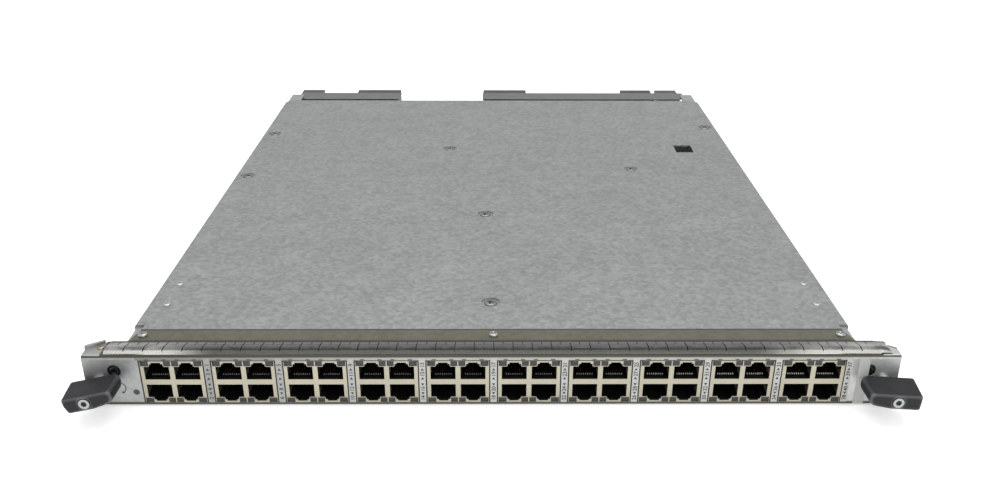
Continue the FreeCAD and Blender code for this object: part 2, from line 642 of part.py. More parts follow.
def light_corners(centre, row, grow):
    """The two light windows beside a latch notch, as left, right, low and high edges."""
    sign = "+" if row > 0 else "-"
    inner = "block_centre%s(web_height/2+socket_height+light_lift-(%s))" % (sign, grow)
    outer = "block_centre%s(web_height/2+socket_height+light_lift+light_height+(%s))" % (sign, grow)
    low, high = (inner, outer) if row > 0 else (outer, inner)
    for side in ("-", "+"):
        near_edge = "%s%s(light_inset-(%s))" % (centre, side, grow)
        far_edge = "%s%s(light_inset+light_width+(%s))" % (centre, side, grow)
        left, right = (far_edge, near_edge) if side == "-" else (near_edge, far_edge)
        yield left, right, low, high


def block_middle(index):
    return "block_shift+(%s)*block_pitch" % (index - (BLOCKS - 1) / 2)


def block_profile(sketch, inset, front, rear):
    """The block's side view: its rear part is stepped up to stand on the main board."""
    low = "block_centre-block_height/2+(%s)" % inset
    high = "block_centre+block_height/2-(%s)" % inset
    step = "block_step_depth-(%s)" % inset
    shelf = "board_bottom+board_thickness+part_gap+(%s)" % inset
    outline(sketch, ((behind(front), low), (behind(step), low), (behind(step), shelf),
                     (behind(rear), shelf), (behind(rear), high), (behind(front), high)))


def make_shield(index):
    """A sheet-metal can, open at the rear, with four sockets and eight light windows."""
    middle = block_middle(index)
    body = new_body("jack_shield_%d" % (index + 1))
    outside = side_sketch(body, "can_outside_%d" % index, middle)
    block_profile(outside, "0", "0", "block_depth")
    pad(body, outside, "block_width", middle=True)
    inside = side_sketch(body, "can_inside_%d" % index, middle)
    block_profile(inside, "can_sheet", "can_sheet", "block_depth+1")
    pocket(body, inside, "block_width-2*can_sheet", middle=True)
    cuts = []
    left_socket = "%s-socket_pitch/2" % middle
    mouths = front_sketch(body, "can_mouths_%d" % index, "0")
    for row in (1, -1):
        socket_outline(mouths, left_socket, row)
        for edges in light_corners(left_socket, row, "part_gap"):
            rectangle(mouths, *edges)
    cuts.append(pocket(body, mouths, "can_sheet+0.1"))
    row_of(body, cuts, mouths, "H_Axis", "socket_pitch", "2")


def make_housing(index):
    """The moulding inside a can: a block with four socket cavities, each with a plain notch."""
    middle = block_middle(index)
    body = new_body("jack_housing_%d" % (index + 1))
    block = side_sketch(body, "block_%d" % index, middle)
    block_profile(block, "can_sheet+part_gap", "can_sheet+light_depth+2*part_gap", "block_depth")
    pad(body, block, "block_width-2*can_sheet-2*part_gap", middle=True)
    left_socket = "%s-socket_pitch/2" % middle
    cavities = front_sketch(body, "cavities_%d" % index, "0")
    for row in (1, -1):
        socket_outline(cavities, left_socket, row, stepped=False)
    cut = pocket(body, cavities, "socket_depth")
    row_of(body, [cut], cavities, "H_Axis", "socket_pitch", "2")


def socket_centres():
    """Every socket: X of its middle, and +1 for the upper row or -1 for the lower."""
    for index in range(BLOCKS):
        middle = size("block_shift") + (index - (BLOCKS - 1) / 2) * size("block_pitch")
        for side in (-0.5, 0.5):
            for row in (1, -1):
                yield middle + side * size("socket_pitch"), row


def contact_strip(across, row):
    """A socket's contact springs as one slanting strip, from near its lip to its rear wall."""
    wire = row * size("contact_wire")
    low = size("block_centre") + row * (size("web_height") / 2 + size("contact_lift"))
    high = low + row * size("contact_rise")
    front = size("can_sheet") + size("light_depth") + size("contact_start") - size("card_depth") / 2
    rear = size("socket_depth") - size("part_gap") - size("card_depth") / 2
    left = across - size("contact_width") / 2
    corners = [Vector(left, front, low), Vector(left, rear, high),
               Vector(left, rear, high + wire), Vector(left, front, low + wire)]
    side = Part.Face(Part.makePolygon(corners + corners[:1]))
    return side.extrude(Vector(size("contact_width"), 0, 0))


def make_contacts():
    """The contact springs, one solid for each socket."""
    thing = doc.addObject("Part::Feature", "port_contacts")
    thing.Shape = Part.makeCompound([contact_strip(centre, row) for centre, row in socket_centres()])
    piece(thing, "port_contacts")


def make_light_pipes():
    """The windows of the light pipes, two at each socket."""
    windows = []
    deep = size("can_sheet") + size("light_depth")
    for centre, row in socket_centres():
        low = size("block_centre") + row * (size("web_height") / 2 + size("socket_height") + size("light_lift"))
        if row < 0:
            low -= size("light_height")
        for left in (size("light_inset"), -size("light_inset") - size("light_width")):
            corner = Vector(centre + left, size("light_recess") - size("card_depth") / 2, low)
            windows.append(Part.makeBox(size("light_width"), deep - size("light_recess"),
                                        size("light_height"), corner))
    thing = doc.addObject("Part::Feature", "port_light_pipes")
    thing.Shape = Part.makeCompound(windows)
    piece(thing, "port_light_pipes")


# ---------------------------------------------------------------- tray, cover and front rail

def make_tray():
    """Floor, side walls with air slots, and top flanges turned inward, folded from one sheet."""
    body = new_body("base_tray")
    half = RIGHT_SIDE
    section = front_sketch(body, "tray_section", "plate_bottom_flange+seam_gap")
    outline(section, (
        ("-" + half, "0"), (half, "0"), (half, "tray_height"), (half + "-tray_flange", "tray_height"),
        (half + "-tray_flange", "tray_height-tray_wall"), (half + "-tray_wall", "tray_height-tray_wall"),
        (half + "-tray_wall", "tray_wall"), ("-%s+tray_wall" % half, "tray_wall"),
        ("-%s+tray_wall" % half, "tray_height-tray_wall"), ("-%s+tray_flange" % half, "tray_height-tray_wall"),
        ("-%s+tray_flange" % half, "tray_height"), ("-" + half, "tray_height")))
    pad(body, section, "card_depth-tray_end-plate_bottom_flange-seam_gap", reverse=True)
    ends = side_sketch(body, "tray_wall_ends", "0")
    rectangle(ends, behind("0"), behind("tray_wall_front"), "tray_wall", "tray_height+1")
    rectangle(ends, behind("card_depth-tray_wall_end"), behind("card_depth"), "tray_wall", "tray_height+1")
    pocket(body, ends, "plate_width", middle=True)
    vent = side_sketch(body, "tray_vent", "0")
    rectangle(vent, behind("vent_first"), behind("vent_first+vent_width"), "vent_low", "vent_high")
    cut = pocket(body, vent, "plate_width", middle=True)
    wall = size("card_depth") - size("tray_wall_end") - size("vent_first")
    gaps = int((wall - size("vent_width") - size("vent_end_space")) / size("vent_pitch"))
    row_of(body, [cut], vent, "H_Axis", "%d*vent_pitch" % gaps, str(gaps + 1))
    holes = level_sketch(body, "tray_flange_holes", "tray_height")
    for across, distance in EDGE_SCREWS:
        threaded_hole(holes, across, behind(distance), "cover_screw_shank+2*screw_gap")
    for across, distance in COVER_RIVETS:
        threaded_hole(holes, across, behind(distance), "cover_rivet_shank+2*screw_gap")
    for across in (RAIL_SCREWS[0], RAIL_SCREWS[-1]):
        threaded_hole(holes, across, behind("rail_screw_depth"), "rail_screw_shank+2*screw_gap")
    pocket(body, holes, "tray_wall+seam_gap")


def make_cover():
    """A sheet with down-turned sides, notched and bevelled corners, a window and screw recesses."""
    body = new_body("top_cover")
    half = COVER_WIDTH + "/2"
    top = "tray_height+cover_sheet"
    low = "%s-cover_flange" % top
    section = front_sketch(body, "cover_section", "cover_front")
    outline(section, (
        ("-" + half, low), ("-%s+cover_sheet" % half, low), ("-%s+cover_sheet" % half, "tray_height"),
        (half + "-cover_sheet", "tray_height"), (half + "-cover_sheet", low), (half, low),
        (half, top), ("-" + half, top)))
    base = pad(body, section, "card_depth-cover_end-cover_front", reverse=True)
    height = size("tray_height") + size("cover_sheet")
    side = size("plate_width") / 2 - size("ear_width") + size("cover_sheet") + size("cover_gap")
    round_edges(body, base, DEEP, lambda p: near(p.z, height) and near(abs(p.x), side), "cover_bend")
    rear = "card_depth-cover_end"
    corners = level_sketch(body, "cover_corners", top)
    for sign in ("-", ""):
        rectangle(corners, sign + "(%s+1)" % half, sign + "(%s-cover_notch_width)" % half,
                  behind("cover_front-1"), behind("cover_front+cover_notch_depth"))
        outline(corners, ((sign + "(%s+1)" % half, behind(rear + "-cover_bevel_depth")),
                          (sign + half, behind(rear + "-cover_bevel_depth")),
                          (sign + "(%s-cover_bevel_width)" % half, behind(rear)),
                          (sign + "(%s-cover_bevel_width)" % half, behind(rear + "+1")),
                          (sign + "(%s+1)" % half, behind(rear + "+1"))))
    pocket(body, corners)
    recesses = level_sketch(body, "cover_recesses", top)
    for across, distance in EDGE_SCREWS + POST_SCREWS:
        circle(recesses, across, behind(distance), "recess_width")
    pocket(body, recesses, "recess_depth")
    holes = level_sketch(body, "cover_holes", top)
    for across, distance in EDGE_SCREWS + POST_SCREWS:
        threaded_hole(holes, across, behind(distance), "cover_screw_shank+2*screw_gap")
    for across, distance in COVER_RIVETS:
        threaded_hole(holes, across, behind(distance), "cover_rivet_shank+2*screw_gap")
    window = RIGHT_SIDE + "-window_inset"
    rectangle(holes, window, window + "+window_side", behind("window_front"),
              behind("window_front+window_length"))
    pocket(body, holes)


def make_rail():
    """The strip between faceplate and cover, with bevelled ends."""
    body = new_body("front_rail")
    plan = level_sketch(body, "rail_plan", "tray_height")
    rear = behind("cover_front-seam_gap/2")
    outline(plan, ((LEFT_SIDE + "-rail_overhang", behind("rail_front")),
                   (RIGHT_SIDE + "+rail_overhang", behind("rail_front")),
                   (RIGHT_SIDE + "+rail_overhang", behind("plate_top_flange")),
                   (RIGHT_SIDE + "-rail_rear_inset", rear), (LEFT_SIDE + "+rail_rear_inset", rear),
                   (LEFT_SIDE + "-rail_overhang", behind("plate_top_flange"))))
    pad(body, plan, "rail_sheet")
    holes = level_sketch(body, "rail_holes", "tray_height+rail_sheet")
    for across in RAIL_SCREWS:
        threaded_hole(holes, across, behind("rail_screw_depth"), "rail_screw_shank+2*screw_gap")
    pocket(body, holes, "rail_sheet+0.5")


def make_cover_fasteners():
    sheet_top = "tray_height+cover_sheet"
    group("front_rail_screws", [
        headed_pin("rail_screw_%d" % number, across, "rail_screw_depth", "tray_height+rail_sheet",
                   "rail_screw_head", "rail_screw_rise", "rail_screw_shank", "rail_screw_length")
        for number, across in enumerate(RAIL_SCREWS)])
    group("cover_screws", [
        headed_pin("cover_screw_%d" % number, across, distance, sheet_top + "-recess_depth",
                   "cover_screw_head", "cover_screw_rise", "cover_screw_shank", "cover_screw_length")
        for number, (across, distance) in enumerate(EDGE_SCREWS + POST_SCREWS)])
    group("cover_rivets", [
        headed_pin("cover_rivet_%d" % number, across, distance, sheet_top, "cover_rivet_head",
                   "cover_rivet_rise", "cover_rivet_shank", "cover_sheet+tray_wall")
        for number, (across, distance) in enumerate(COVER_RIVETS)])


def post(name, across, distance, width, bore, low, high, depth):
    """A six-sided post with a threaded hole in its top."""
    bar = prism(name + "_bar", SHANK_SIDES, width, "(%s)-(%s)" % (high, low), across, distance, low, UP)
    hole = prism(name + "_bore", SHANK_SIDES, bore, "(%s)+1" % depth, across, distance,
                 "(%s)-(%s)" % (high, depth), UP)
    cut = doc.addObject("Part::Cut", name)
    cut.Base = bar
    cut.Tool = hole
    return cut


def make_posts():
    """Posts from the tray's floor to the cover and to the middle of the front rail."""
    posts = [post("rail_post", MIDDLE_WEB, "rail_screw_depth", "rail_post_width",
                  "rail_screw_shank+2*part_gap", "tray_wall", "tray_height", "post_bore_depth")]
    for number, (across, distance) in enumerate(POST_SCREWS):
        posts.append(post("cover_post_%d" % number, across, distance, "post_width",
                          "cover_screw_shank+2*part_gap", "tray_wall", "tray_height", "post_bore_depth"))
    group("support_posts", posts)


# ---------------------------------------------------------------- main board and what it carries

def make_board():
    body = new_body("main_board")
    plan = level_sketch(body, "board_plan", "board_bottom")
    rectangle(plan, "-" + BOARD_HALF, BOARD_HALF, behind(BOARD_FRONT), behind("card_depth-board_end"))
    pad(body, plan, "board_thickness")
    holes = level_sketch(body, "board_holes", BOARD_TOP)
    for across, distance in BOARD_SCREWS:
        threaded_hole(holes, across, behind(distance), "board_screw_shank+2*screw_gap")
    for across, distance in POST_SCREWS:
        threaded_hole(holes, across, behind(distance), "post_width+4*screw_gap")
    pocket(body, holes, "board_thickness+0.5")


def make_board_fasteners():
    height = "board_bottom-tray_wall"
    group("board_standoffs", [
        post("standoff_%d" % number, across, distance, "standoff_width", "board_screw_shank+2*part_gap",
             "tray_wall", "board_bottom", height + "-board_screw_grip/4")
        for number, (across, distance) in enumerate(BOARD_SCREWS)])
    group("board_screws", [
        headed_pin("board_screw_%d" % number, across, distance, BOARD_TOP, "board_screw_head",
                   "board_screw_rise", "board_screw_shank", "board_thickness+board_screw_grip", SHANK_SIDES)
        for number, (across, distance) in enumerate(BOARD_SCREWS)])


def plain_block(label, width, length, height, across, distance, low):
    """A box centred on a place of the board."""
    box = doc.addObject("Part::Box", label)
    bind(box, Length=width, Width=length, Height=height, Placement__Base__x="(%s)-(%s)/2" % (across, width),
         Placement__Base__y=behind("(%s)-(%s)/2" % (distance, length)), Placement__Base__z=low)
    return box


def make_chips():
    """Packet chips, each under a finned heat sink."""
    distance = "chip_depth"
    for number, across in enumerate(("chip_left", "chip_right"), 1):
        chip = plain_block("packet_chip_%d" % number, "chip_side", "chip_side", "chip_height",
                           across, distance, BOARD_TOP)
        piece(chip, "packet_chip_%d" % number)
        foot = BOARD_TOP + "+chip_height"
        body = new_body("heat_sink_%d" % number)
        base = level_sketch(body, "sink_base_%d" % number, foot)
        rectangle(base, "%s-sink_side/2" % across, "%s+sink_side/2" % across,
                  behind("%s-sink_side/2" % distance), behind("%s+sink_side/2" % distance))
        pad(body, base, "sink_height")
        gap = "(sink_side-fin_thickness)/(fin_count-1)"
        groove = front_sketch(body, "sink_groove_%d" % number, "%s-sink_side/2" % distance)
        rectangle(groove, "%s-sink_side/2+fin_thickness" % across, "%s-sink_side/2+%s" % (across, gap),
                  foot + "+sink_base", foot + "+sink_height+1")
        cut = pocket(body, groove, "sink_side+1")
        row_of(body, [cut], groove, "H_Axis", "(fin_count-2)*" + gap, "fin_count-1")


def make_converter():
    box = plain_block("power_converter", "converter_width", "converter_length", "converter_height",
                      "converter_side", "converter_depth", BOARD_TOP)
    piece(box, "power_converter")


def make_backplane_plug(label, centre, width):
    """A backplane connector: a moulding with a row of upright contact slots in its rear."""
    body = new_body(label)
    front = "card_depth-plug_length"
    step = "card_depth-board_end+part_gap"
    section = side_sketch(body, label + "_section", centre)
    outline(section, ((behind(front), BOARD_TOP), (behind(step), BOARD_TOP), (behind(step), "board_bottom"),
                      (behind("card_depth"), "board_bottom"), (behind("card_depth"), "plug_top"),
                      (behind(front + "+plug_bevel"), "plug_top"), (behind(front), "plug_top-plug_bevel")))
    pad(body, section, width, middle=True)
    gaps = int((size(width) - 2 * size("plug_end_wall")) / size("plug_slot_pitch"))
    slot = front_sketch(body, label + "_slot", "card_depth")
    first = "%s-%d/2*plug_slot_pitch" % (centre, gaps)
    rectangle(slot, first + "-plug_slot/2", first + "+plug_slot/2", "board_bottom+plug_rim", "plug_top-plug_rim")
    cut = pocket(body, slot, "plug_slot_depth", reverse=True)
    row_of(body, [cut], slot, "H_Axis", "%d*plug_slot_pitch" % gaps, str(gaps + 1))


def make_guide(label, centre):
    """A block with a round socket that takes the backplane's guide pin."""
    body = new_body(label)
    plan = level_sketch(body, label + "_plan", BOARD_TOP)
    rectangle(plan, "%s-guide_width/2" % centre, "%s+guide_width/2" % centre,
              behind("card_depth-guide_length"), behind("card_depth"))
    pad(body, plan, "plug_top-(%s)" % BOARD_TOP)
    mouth = front_sketch(body, label + "_socket", "card_depth")
    circle(mouth, centre, "guide_axis", "guide_bore")
    pocket(body, mouth, "guide_bore_depth", reverse=True)


def make_ledge(label, left, right):
    """A folded strip that closes the rear between two connectors: a top with a front leg."""
    body = new_body(label)
    middle = "((%s)+(%s))/2" % (left, right)
    front = "card_depth-ledge_start"
    rear = "card_depth-ledge_end"
    section = side_sketch(body, label + "_section", middle)
    outline(section, ((behind(front), BOARD_TOP), (behind(front + "+ledge_sheet"), BOARD_TOP),
                      (behind(front + "+ledge_sheet"), "ledge_top-ledge_sheet"),
                      (behind(rear), "ledge_top-ledge_sheet"), (behind(rear), "ledge_top"),
                      (behind(front), "ledge_top")))
    pad(body, section, "(%s)-(%s)" % (right, left), middle=True)


def make_rear():
    """Three connectors and two guide sockets at the rear, with ledges in two of the gaps."""
    left = LEFT_SIDE + "+plug_left_inset"
    right = RIGHT_SIDE + "-plug_right_inset"
    guide = LEFT_SIDE + "+guide_left_inset"
    make_backplane_plug("backplane_plug_left", left, "plug_wide")
    make_backplane_plug("backplane_plug_middle", "plug_middle_centre", "plug_wide")
    make_backplane_plug("backplane_plug_right", right, "plug_narrow")
    make_guide("guide_socket_left", guide)
    make_guide("guide_socket_right", RIGHT_SIDE + "-guide_right_inset")
    make_ledge("rear_ledge_left", guide + "+guide_width/2+seam_gap", left + "-plug_wide/2-seam_gap")
    make_ledge("rear_ledge_right", "plug_middle_centre+plug_wide/2+seam_gap",
               right + "-plug_narrow/2-seam_gap")


# ---------------------------------------------------------------- knobs and their jackscrews

def make_knob(side, sign, turn):
    """A moulded grip: drafted outer end, rounded inner end, bore for the spindle."""
    body = new_body(side + "_knob")
    inward = "" if sign == "-" else "-"
    outward = "-" if sign == "-" else ""
    face = new_sketch(body, side + "_knob_face", "XZ_Plane", "knob_back")
    outline(face, ((outward + "knob_outboard", "-knob_drop"), (inward + "knob_slope_start", "-knob_drop"),
                   (inward + "knob_inboard", "-knob_drop_inboard"), (inward + "knob_inboard", "knob_rise"),
                   (outward + "knob_outboard", "knob_rise")))
    base = pad(body, face, "knob_front-knob_back")
    draft = new_sketch(body, side + "_knob_draft", "XY_Plane", "0")
    outline(draft, ((outward + "knob_outboard", "-knob_back"), (outward + "(knob_outboard+1)", "-knob_back"),
                    (outward + "(knob_outboard+1)", "-knob_front-1"),
                    (outward + "knob_outboard_front", "-knob_front-1"),
                    (outward + "knob_outboard_front", "-knob_front")))
    base = pocket(body, draft, "4*(knob_rise+knob_drop)", middle=True)
    end = float(inward + "1") * size("knob_inboard")
    base = round_edges(body, base, UPRIGHT,
                       lambda p: near(p.x, end) and near(p.y, -size("knob_back")), "knob_corner")
    base = round_edges(body, base, DEEP,
                       lambda p: near(p.x, end) and near(p.z, -size("knob_drop_inboard")), "knob_belly")
    base = round_edges(body, base, DEEP,
                       lambda p: near(p.x, end) and near(p.z, size("knob_rise")), "knob_shoulder")
    base = bevel_edges(body, base, lambda p: near(p.y, -size("knob_front")), "knob_edge")
    bore = new_sketch(body, side + "_knob_bore", "XZ_Plane", "knob_back")
    circle(bore, "0", "0", "spindle_width+2*part_gap")
    pocket(body, bore, "spindle_front-knob_back+part_gap", reverse=True)
    screw_hole = new_sketch(body, side + "_knob_screw_hole", "XZ_Plane", "knob_front")
    threaded_hole(screw_hole, "0", "0", "cap_shank+2*screw_gap")
    pocket(body, screw_hole)
    recess = new_sketch(body, side + "_knob_recess", "XZ_Plane", "knob_front")
    circle(recess, "0", "0", "cap_head+2*part_gap")
    pocket(body, recess, "cap_head_length")
    place_on_axis(body, sign, turn)


def place_on_axis(thing, sign, turn):
    """Put a piece made about the origin on a knob's axis, at the faceplate's front."""
    thing.Placement = Placement(Vector(0, 0, 0), Rotation(Vector(0, 1, 0), 0))
    bind(thing, Placement__Base__x=sign + KNOB_AXIS, Placement__Base__y="-card_depth/2",
         Placement__Base__z="knob_axis_height", Placement__Rotation__Angle=turn)
    doc.recompute()


def make_knob_screw(side, sign, turn):
    """A cap screw with a hexagon socket, along the knob's axis."""
    head = local_bar(side + "_cap_head", "cap_head", "cap_head_length", "-knob_front")
    shank = doc.addObject("Part::Prism", side + "_cap_shank")
    shank.Polygon = SHANK_SIDES
    shank.Placement = Placement(Vector(0, 0, 0), BACK)
    bind(shank, Circumradius="cap_shank/2", Height="cap_length+cap_head_length/4",
         Placement__Base__y="cap_head_length*3/4-knob_front")
    hexagon = doc.addObject("Part::Prism", side + "_cap_hexagon")
    hexagon.Polygon = 6
    hexagon.Placement = Placement(Vector(0, 0, 0), BACK)
    bind(hexagon, Circumradius="cap_hex/sqrt(3)", Height="cap_hex_depth+1", Placement__Base__y="-knob_front-1")
    screw = doc.addObject("Part::Cut", side + "_knob_screw")
    screw.Base = fused(side + "_cap_solid", [head, shank])
    screw.Tool = hexagon
    piece(screw, side + "_knob_screw")
    place_on_axis(screw, sign, turn)


def local_bar(name, diameter, length, start):
    """A round bar on a knob's own axis, along Y from a start."""
    bar = doc.addObject("Part::Cylinder", name)
    bar.Placement = Placement(Vector(0, 0, 0), BACK)
    bind(bar, Radius="(%s)/2" % diameter, Height=length, Placement__Base__y=start)
    return bar


def make_jackscrew(side, sign, turn):
    """One turned piece: spindle for the knob, collar behind the bush, threaded end."""
    body = new_body(side + "_jackscrew")
    profile = new_sketch(body, side + "_jackscrew_profile", "XY_Plane", "0")
    collar = "plate_wall+bracket_sheet+bush_flange_length+running_gap*2"
    outline(profile, (("0", "-spindle_front"), ("spindle_width/2", "-spindle_front"),
                      ("spindle_width/2", collar), ("collar_width/2", collar),
                      ("collar_width/2", collar + "+collar_length"),
                      ("thread_width/2", collar + "+collar_length"),
                      ("thread_width/2", "thread_end-thread_chamfer"),
                      ("thread_width/2-thread_chamfer", "thread_end"), ("0", "thread_end")))
    turned = body.newObject("PartDesign::Revolution", side + "_jackscrew_turned")
    turned.Profile = profile
    turned.ReferenceAxis = (profile, ["V_Axis"])
    turned.Angle = 360
    doc.recompute()
    bore = new_sketch(body, side + "_jackscrew_bore", "XZ_Plane", "spindle_front")
    threaded_hole(bore, "0", "0", "cap_shank+2*part_gap")
    pocket(body, bore, "cap_head_length+cap_length+1-knob_front+spindle_front")
    place_on_axis(body, sign, turn)


def make_bush(side, sign):
    """A flanged bush that carries the spindle."""
    body = new_body(side + "_bush")
    profile = new_sketch(body, side + "_bush_profile", "XY_Plane", "0")
    inner = "spindle_width/2+running_gap"
    rear = "plate_wall+bracket_sheet"
    outline(profile, ((inner, "-bush_front"), ("bush_width/2", "-bush_front"), ("bush_width/2", rear),
                      ("bush_flange_width/2", rear), ("bush_flange_width/2", rear + "+bush_flange_length"),
                      (inner, rear + "+bush_flange_length")))
    turned = body.newObject("PartDesign::Revolution", side + "_bush_turned")
    turned.Profile = profile
    turned.ReferenceAxis = (profile, ["V_Axis"])
    turned.Angle = 360
    place_on_axis(body, sign, "0")


def make_bracket(side, sign):
    """An angle that backs the faceplate's end and runs along the tray's side wall."""
    body = new_body(side + "_bracket")
    inner = "(plate_width/2-ear_width-tray_wall)"
    outer = "(plate_width/2-bracket_inset)"
    plate = level_sketch(body, side + "_bracket_plan", "bracket_low")
    outline(plate, ((sign + outer, behind("plate_wall")),
                    (sign + outer, behind("plate_wall+bracket_sheet")),
                    (sign + inner, behind("plate_wall+bracket_sheet")),
                    (sign + inner, behind("bracket_reach")),
                    (sign + "(%s-bracket_sheet)" % inner, behind("bracket_reach")),
                    (sign + "(%s-bracket_sheet)" % inner, behind("plate_wall"))))
    pad(body, plate, "bracket_high-bracket_low")
    holes = front_sketch(body, side + "_bracket_holes", "plate_wall")
    circle(holes, sign + KNOB_AXIS, "knob_axis_height", "bush_width")
    threaded_hole(holes, sign + BRACKET_SCREW, "bracket_screw_height", "bracket_screw_shank+2*part_gap")
    pocket(body, holes, "bracket_sheet+0.5")


def make_bracket_screws():
    """Countersunk screws that hold the brackets to the faceplate."""
    screws = []
    for side, sign in (("left", "-"), ("right", "")):
        head = doc.addObject("Part::Cone", side + "_bracket_screw_head")
        head.Placement = Placement(Vector(0, 0, 0), BACK)
        bind(head, Radius1="bracket_screw_head/2", Radius2="bracket_screw_shank/2",
             Height="bracket_screw_sink", Placement__Base__x=sign + BRACKET_SCREW,
             Placement__Base__y=behind("bracket_screw_recess"), Placement__Base__z="bracket_screw_height")
        shank = prism(side + "_bracket_screw_shank", SHANK_SIDES, "bracket_screw_shank",
                      "bracket_screw_length-bracket_screw_sink/2", sign + BRACKET_SCREW,
                      "bracket_screw_sink/2", "bracket_screw_height", BACK)
        screws.append(fused(side + "_bracket_screw", [head, shank]))
    group("bracket_screws", screws)


def make_lamp():
    lamp = cylinder("status_light", "lamp_width", "lamp_length", "lamp_inset-plate_width/2", "0",
                    "lamp_height", BACK)
    piece(lamp, "status_light")


# ---------------------------------------------------------------- the whole card

make_faceplate()
make_gasket()
make_gasket_rivets()
for block in range(BLOCKS):
    make_shield(block)
    make_housing(block)
make_contacts()
make_light_pipes()
make_tray()
make_cover()
make_rail()
make_cover_fasteners()
make_posts()
make_board()
make_board_fasteners()
make_chips()
make_converter()
make_rear()
for side, sign, turn in (("left", "-", "knob_left_turn"), ("right", "", "knob_right_turn")):
    make_knob(side, sign, turn)
    make_knob_screw(side, sign, turn)
    make_jackscrew(side, sign, turn)
    make_bush(side, sign)
    make_bracket(side, sign)
make_bracket_screws()
make_lamp()
doc.recompute()

for thing in doc.Objects:
    if "Invalid" in thing.State or "Error" in thing.State:
        raise RuntimeError("%s: %s" % (thing.Name, thing.State))
for thing in pieces:
    if thing.Shape.isNull() or not thing.Shape.isValid() or not thing.Shape.Solids:
        raise RuntimeError("%s has no sound solid" % thing.Label)

os.makedirs("parts", exist_ok=True)
for thing in pieces:
    thing.Shape.exportStep("parts/%s.step" % thing.Label)
print("%d pieces" % len(pieces))
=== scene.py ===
import math

import bpy
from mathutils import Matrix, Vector
from mathutils.geometry import tessellate_polygon


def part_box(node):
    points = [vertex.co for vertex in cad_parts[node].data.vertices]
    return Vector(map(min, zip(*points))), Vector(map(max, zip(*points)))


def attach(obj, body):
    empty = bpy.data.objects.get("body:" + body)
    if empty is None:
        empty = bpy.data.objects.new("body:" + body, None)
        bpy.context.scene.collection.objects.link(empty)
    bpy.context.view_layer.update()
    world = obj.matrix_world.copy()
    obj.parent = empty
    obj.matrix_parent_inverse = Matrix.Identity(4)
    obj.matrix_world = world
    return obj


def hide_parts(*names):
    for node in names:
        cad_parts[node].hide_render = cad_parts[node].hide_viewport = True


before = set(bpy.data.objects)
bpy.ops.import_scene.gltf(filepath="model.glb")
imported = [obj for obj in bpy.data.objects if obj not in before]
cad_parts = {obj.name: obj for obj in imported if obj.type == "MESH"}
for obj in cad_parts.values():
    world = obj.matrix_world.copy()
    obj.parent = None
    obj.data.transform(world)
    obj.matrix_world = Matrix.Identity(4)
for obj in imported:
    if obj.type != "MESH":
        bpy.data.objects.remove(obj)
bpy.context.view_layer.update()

MM = 0.001
FRONT = -230.0            # faceplate's front
PLATE_TOP = 27.4
BEND = 1.8                # outer radius of the faceplate's bends
COVER_TOP = 25.9
DIMPLE_FLOOR = 25.3       # floor of the cover's screw recesses
BLOCKS = 10
BLOCK_PITCH = 33.2
BLOCK_SHIFT = 0.4         # middle of the row, right of the card's middle
BLOCK_WIDTH = 29.0
BLOCK_CENTRE = 13.3       # middle height of the web between the two rows of mouths
SOCKET_PITCH = 13.97
MOUTH_WIDTH = 11.65
HALF_WEB = 1.4
SPRINGS = 8
SPRING_PITCH = 1.02
KNOB_AXIS = 183.3         # from the card's middle to each knob's axis
KNOB_HEIGHT = 14.1
PRINT_LIFT = 0.065        # prints stand on the labels
THREAD_PITCH = 0.6
SCREW_SIDES = 24
UPRIGHT = (0, 0, 0)
TURNED_OVER = (0, math.radians(180), 0)


